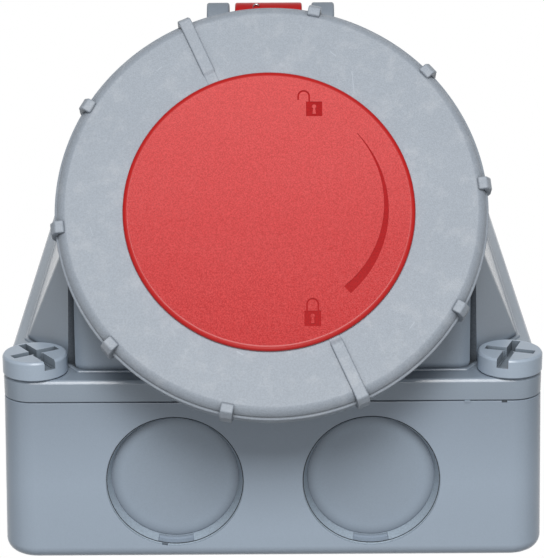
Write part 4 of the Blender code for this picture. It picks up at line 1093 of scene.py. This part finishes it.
def build_spring():
    """The spring in the knuckle. Its legs end inside the pocket, clear of the lid as it opens."""
    first = math.radians(135)
    sweep = -math.tau * 4 - math.radians(225)
    steps = 180
    coil = []
    for k in range(steps + 1):
        angle = first + sweep * k / steps
        along = COIL_LENGTH * (k / steps - 0.5)
        coil.append(Vector((along, COIL_RADIUS * math.cos(angle), COIL_RADIUS * math.sin(angle))))
    leg = Vector((0, -0.9, 0))
    spring = wire([coil[0] + leg, *coil, coil[-1] + leg], COIL_WIRE, 12)
    place = HINGE @ Matrix.Translation((KNUCKLE_SIDE, 0, 0))
    piece("spring_wire", spring, "housing", STEEL, ["lid_spring"], place=place)

    # The bow of wire that shows on the knuckle, laid out as the photo's camera sees it.
    bow = []
    for x, up in arc((-4.25, 3.65), 0.95, 205, 40, 24):
        near = 4.1 + 0.5 * (up - 3.65)
        offset = Vector((x, 0, 0)) + up * CAMERA_UP - near * CAMERA_FORWARD
        bow.append(HINGE.to_translation() + offset)
    end = bow[0] + 1.6 * CAMERA_FORWARD
    piece("spring_end", wire([end, *bow], 0.26, 10), "lid", STEEL)


def padlock(x, y, open_shackle):
    """The parts of a padlock mark: body with a raised keyhole, and shackle. All are cut in."""
    body = prism(
        rectangle(x - 2.35, x + 2.35, y - 2.25, y + 2.25),
        DISC_TOP - 0.25,
        DISC_TOP + 1,
        material=RED_MARK,
    )
    hole = arc((x, y + 0.75), 0.62, -60, 240, 14) + [(x - 0.5, y - 1.5), (x + 0.5, y - 1.5)]
    carve(body, [("DIFFERENCE", prism(hole, DISC_TOP - 1, DISC_TOP + 2, material=RED_MARK))])
    centre_x = x - 3.0 if open_shackle else x
    centre_y = y + 2.25 + (1.7 if open_shackle else 1.9)
    radius = 1.6
    half = 0.24
    foot = y + 2.2
    left_foot = y + 2.8 if open_shackle else foot
    outline = [
        (centre_x + radius + half, foot),
        *arc((centre_x, centre_y), radius + half, 0, 180, 20),
        (centre_x - radius - half, left_foot),
        (centre_x - radius + half, left_foot),
        *arc((centre_x, centre_y), radius - half, 180, 0, 20),
        (centre_x + radius - half, foot),
    ]
    return [body, prism(outline, DISC_TOP - 0.22, DISC_TOP + 1, material=RED_MARK)]


def crescent():
    """The curved wedge that shows which way the ring turns to close."""
    radius = 34.3
    steps = 48
    outer = []
    inner = []
    for k in range(steps + 1):
        share = k / steps
        angle = math.radians(41.8 - 89.6 * share)
        width = 0.12 + 2.7 * share
        outer.append((radius * math.cos(angle), radius * math.sin(angle)))
        inner.append(((radius - width) * math.cos(angle), (radius - width) * math.sin(angle)))
    return prism(outer + inner[::-1], DISC_TOP - 0.2, DISC_TOP + 1, material=RED_MARK)


def build_lid_disc():
    edge = []
    for run, rise in arc((0, 0), 1, 0, 90, 8):
        radius = DISC_RADIUS - DISC_BEVEL + DISC_BEVEL * run
        edge.append((radius, DISC_TOP - 0.9 + 0.9 * rise))
    profile = [
        (0, DISC_TOP),
        (0, DISC_LOW - 1.1),
        (SPIGOT_RADIUS - SPIGOT_WALL, DISC_LOW - 1.1),
        (SPIGOT_RADIUS - SPIGOT_WALL, LID_FRONT + 0.3),
        (SPIGOT_RADIUS, LID_FRONT + 0.3),
        (SPIGOT_RADIUS, DISC_LOW),
        (DISC_RADIUS, DISC_LOW),
        *edge,
    ]
    face = turned(profile, FINE_STEPS, material=RED)
    face.data.materials.append(RED_SMOOTH)
    for polygon in face.data.polygons:
        at_edge = polygon.center.xy.length > DISC_RADIUS - 1.5
        if at_edge and polygon.center.z < DISC_TOP - 0.001:
            polygon.material_index = 1
    marks = [*padlock(13.25, 30.3, True), *padlock(12.2, -32.7, False), crescent()]
    carve(face, [("DIFFERENCE", mark) for mark in marks])
    piece("lid_face", face, "lid", RED, ["lid_disc"], place=LID)


def grip(number):
    """One grip of the ring, in the ring's own frame. Two of the ten run in as long ribs."""
    foot = GRIP_TOP - 8.6
    if number % 5 == 0:
        inner = [(40.5, RING_FACE - 1), (61.5, RING_FACE - 1)]
        end = [(45.0, GRIP_TOP), (43.9, RING_FACE + 0.16), (40.5, RING_FACE + 0.16)]
    else:
        inner = [(59.4, RING_FACE - 1), (61.5, RING_FACE - 1)]
        end = [(59.9, GRIP_TOP)]
    outline = [
        *inner,
        (61.5, foot),
        (GRIP_OUTER - 0.8, foot),
        (GRIP_OUTER, foot + 2),
        (GRIP_OUTER, GRIP_TOP - 2.2),
        (GRIP_OUTER - 1.4, GRIP_TOP),
        *end,
    ]
    turn = Matrix.Rotation(GRIP_TURN + math.tau * number / 10 - math.pi / 2, 4, "Z")
    rib = prism(outline, -GRIP_HALF_WIDTH, GRIP_HALF_WIDTH, "X", turn, RING_GREY)
    return rounded(rib, 0.42, 3, 20)


def build_ring():
    profile = [
        (RING_BORE, RING_FACE - RING_WALL),
        (RING_INNER, RING_FACE - RING_WALL),
        (RING_INNER, RING_REAR + 0.3),
        (RING_INNER + 0.3, RING_REAR),
        (RING_RADIUS - 1.9, RING_REAR),
        (RING_RADIUS - 1.6, RING_REAR + 0.3),
        (RING_RADIUS - 0.6, 17.5),
        # A bead, the groove over it, and the rounded edge of the face.
        *arc((RING_RADIUS - 0.5, 18.5), 0.5, -60, 90, 6),
        (61.4, 19.3),
        (61.25, 19.5),
        (61.3, 19.75),
        (61.8, 19.8),
        (61.6, 20.25),
        (61.2, 20.85),
        (60.6, 21.4),
        (60.0, 21.78),
        (59.5, 21.95),
        (59.2, RING_FACE),
        *arc((RING_BORE + 0.6, RING_FACE - 0.6), 0.6, 90, 180, 5),
    ]
    ring = turned(profile, FINE_STEPS, material=RING_GREY)
    claws = bmesh.new()
    claw = rectangle(52.0, 60.2, RING_REAR, RING_REAR + 2)
    for half_turn in (0, math.pi):
        start = math.radians(30) + half_turn
        lathe(claws, claw, 24, start=start, sweep=math.radians(30))
    grips = [grip(number) for number in range(10)]
    whole = merge([ring, shape(claws, material=RING_GREY), *grips])
    piece("turning_ring", whole, "ring", RING_GREY, ["locking_ring"], place=SOCKET)


build_back_box()
build_cover()
build_cover_screws()
build_socket_body()
build_lid_body()
build_spring()
build_lid_disc()
build_ring()


# ---------------------------------------------------------------- floor, light and camera

MIRRORED_SIDES = 0.2
AMBIENT_FRONT = 0.09
AMBIENT_BACK = 1.0
AIM = Vector((0, -0.12, -0.09))
FLOOR_RADIUS = 3.2
FLOOR_LOW = -1.4
FLOOR_TOP = -1.36
FLOOR_PALE = (0.8, 0.8, 0.8)
FLOOR_WORN = (0.78, 0.785, 0.79)
FLOOR_DIM = (0.12, 0.12, 0.12)


def build_camera():
    camera = bpy.data.cameras.new("photo_camera")
    camera.sensor_fit = "AUTO"
    camera.sensor_width = 36
    camera.lens = CAMERA_LENS
    camera.clip_start = 0.01
    obj = bpy.data.objects.new("photo_camera", camera)
    bpy.context.collection.objects.link(obj)
    turn = Matrix((CAMERA_RIGHT, CAMERA_UP, -CAMERA_FORWARD)).transposed().to_4x4()
    roll = Matrix.Rotation(CAMERA_ROLL, 4, "Z")
    obj.matrix_world = Matrix.Translation(CAMERA_PLACE) @ turn @ roll
    bpy.context.scene.camera = obj


def softbox(name, up, near, width, height, power):
    """A soft light, placed by how far up in the photo and towards its camera it is, in metres."""
    light = bpy.data.lights.new(name, "AREA")
    light.shape = "RECTANGLE"
    light.size = width
    light.size_y = height
    light.energy = power
    place = AIM + CAMERA_UP * up - CAMERA_FORWARD * near
    back = (place - AIM).normalized()
    right = CAMERA_FORWARD.cross(back).normalized()
    turn = Matrix((right, back.cross(right), back)).transposed().to_4x4()
    obj = bpy.data.objects.new(name, light)
    bpy.context.collection.objects.link(obj)
    obj.matrix_world = Matrix.Translation(place) @ turn
    obj.visible_camera = False


def build_world():
    """White for the camera. Other rays see a white backdrop behind the object and dim sides."""
    world = bpy.data.worlds.new("studio")
    nodes = Nodes(world)
    behind = nodes.vector("DOT_PRODUCT", nodes.direction, CAMERA_FORWARD)["Value"]
    mirrored = nodes.span(behind, 0.35, 0.92, MIRRORED_SIDES, 1.0)
    spread = nodes.span(behind, 0.15, 0.5, AMBIENT_FRONT, AMBIENT_BACK)
    rays = nodes.add("ShaderNodeLightPath").outputs
    not_camera = nodes.span(rays["Is Glossy Ray"], 0.0, 1.0, spread, mirrored)
    background = nodes.tree.nodes["Background"].inputs
    nodes.feed(background["Color"], (1, 1, 1))
    nodes.feed(background["Strength"], nodes.span(rays["Is Camera Ray"], 0.0, 1.0, not_camera, 1.0))
    bpy.context.scene.world = world


def build_floor():
    """A plain pale floor, far enough below for the photo's camera to stand over it.

    It gives the underside little light, so that the shadow of the ring stays as in the photo."""
    corners = [(0, FLOOR_LOW), (FLOOR_RADIUS, FLOOR_LOW), (FLOOR_RADIUS, FLOOR_TOP), (0, FLOOR_TOP)]
    floor = turned(corners, 96)
    floor.name = "studio_floor"
    nodes = Nodes(bpy.data.materials.new("studio floor"))
    pale = nodes.mix(nodes.noise(3.0, 2.0), FLOOR_PALE, FLOOR_WORN)
    rays = nodes.add("ShaderNodeLightPath").outputs
    seen = nodes.math("MAXIMUM", rays["Is Camera Ray"], rays["Is Glossy Ray"])
    plaster = nodes.surface({"Base Color": nodes.mix(seen, FLOOR_DIM, pale), "Roughness": 0.8})
    floor.data.materials.append(plaster)


build_camera()
build_world()
build_floor()
softbox("key_above", 0.47, 1.03, 0.48, 0.43, 10.5)
softbox("fill_front", -0.32, 1.1, 0.5, 0.3, 2.2)


scene = bpy.context.scene
scene.view_settings.view_transform = "Standard"
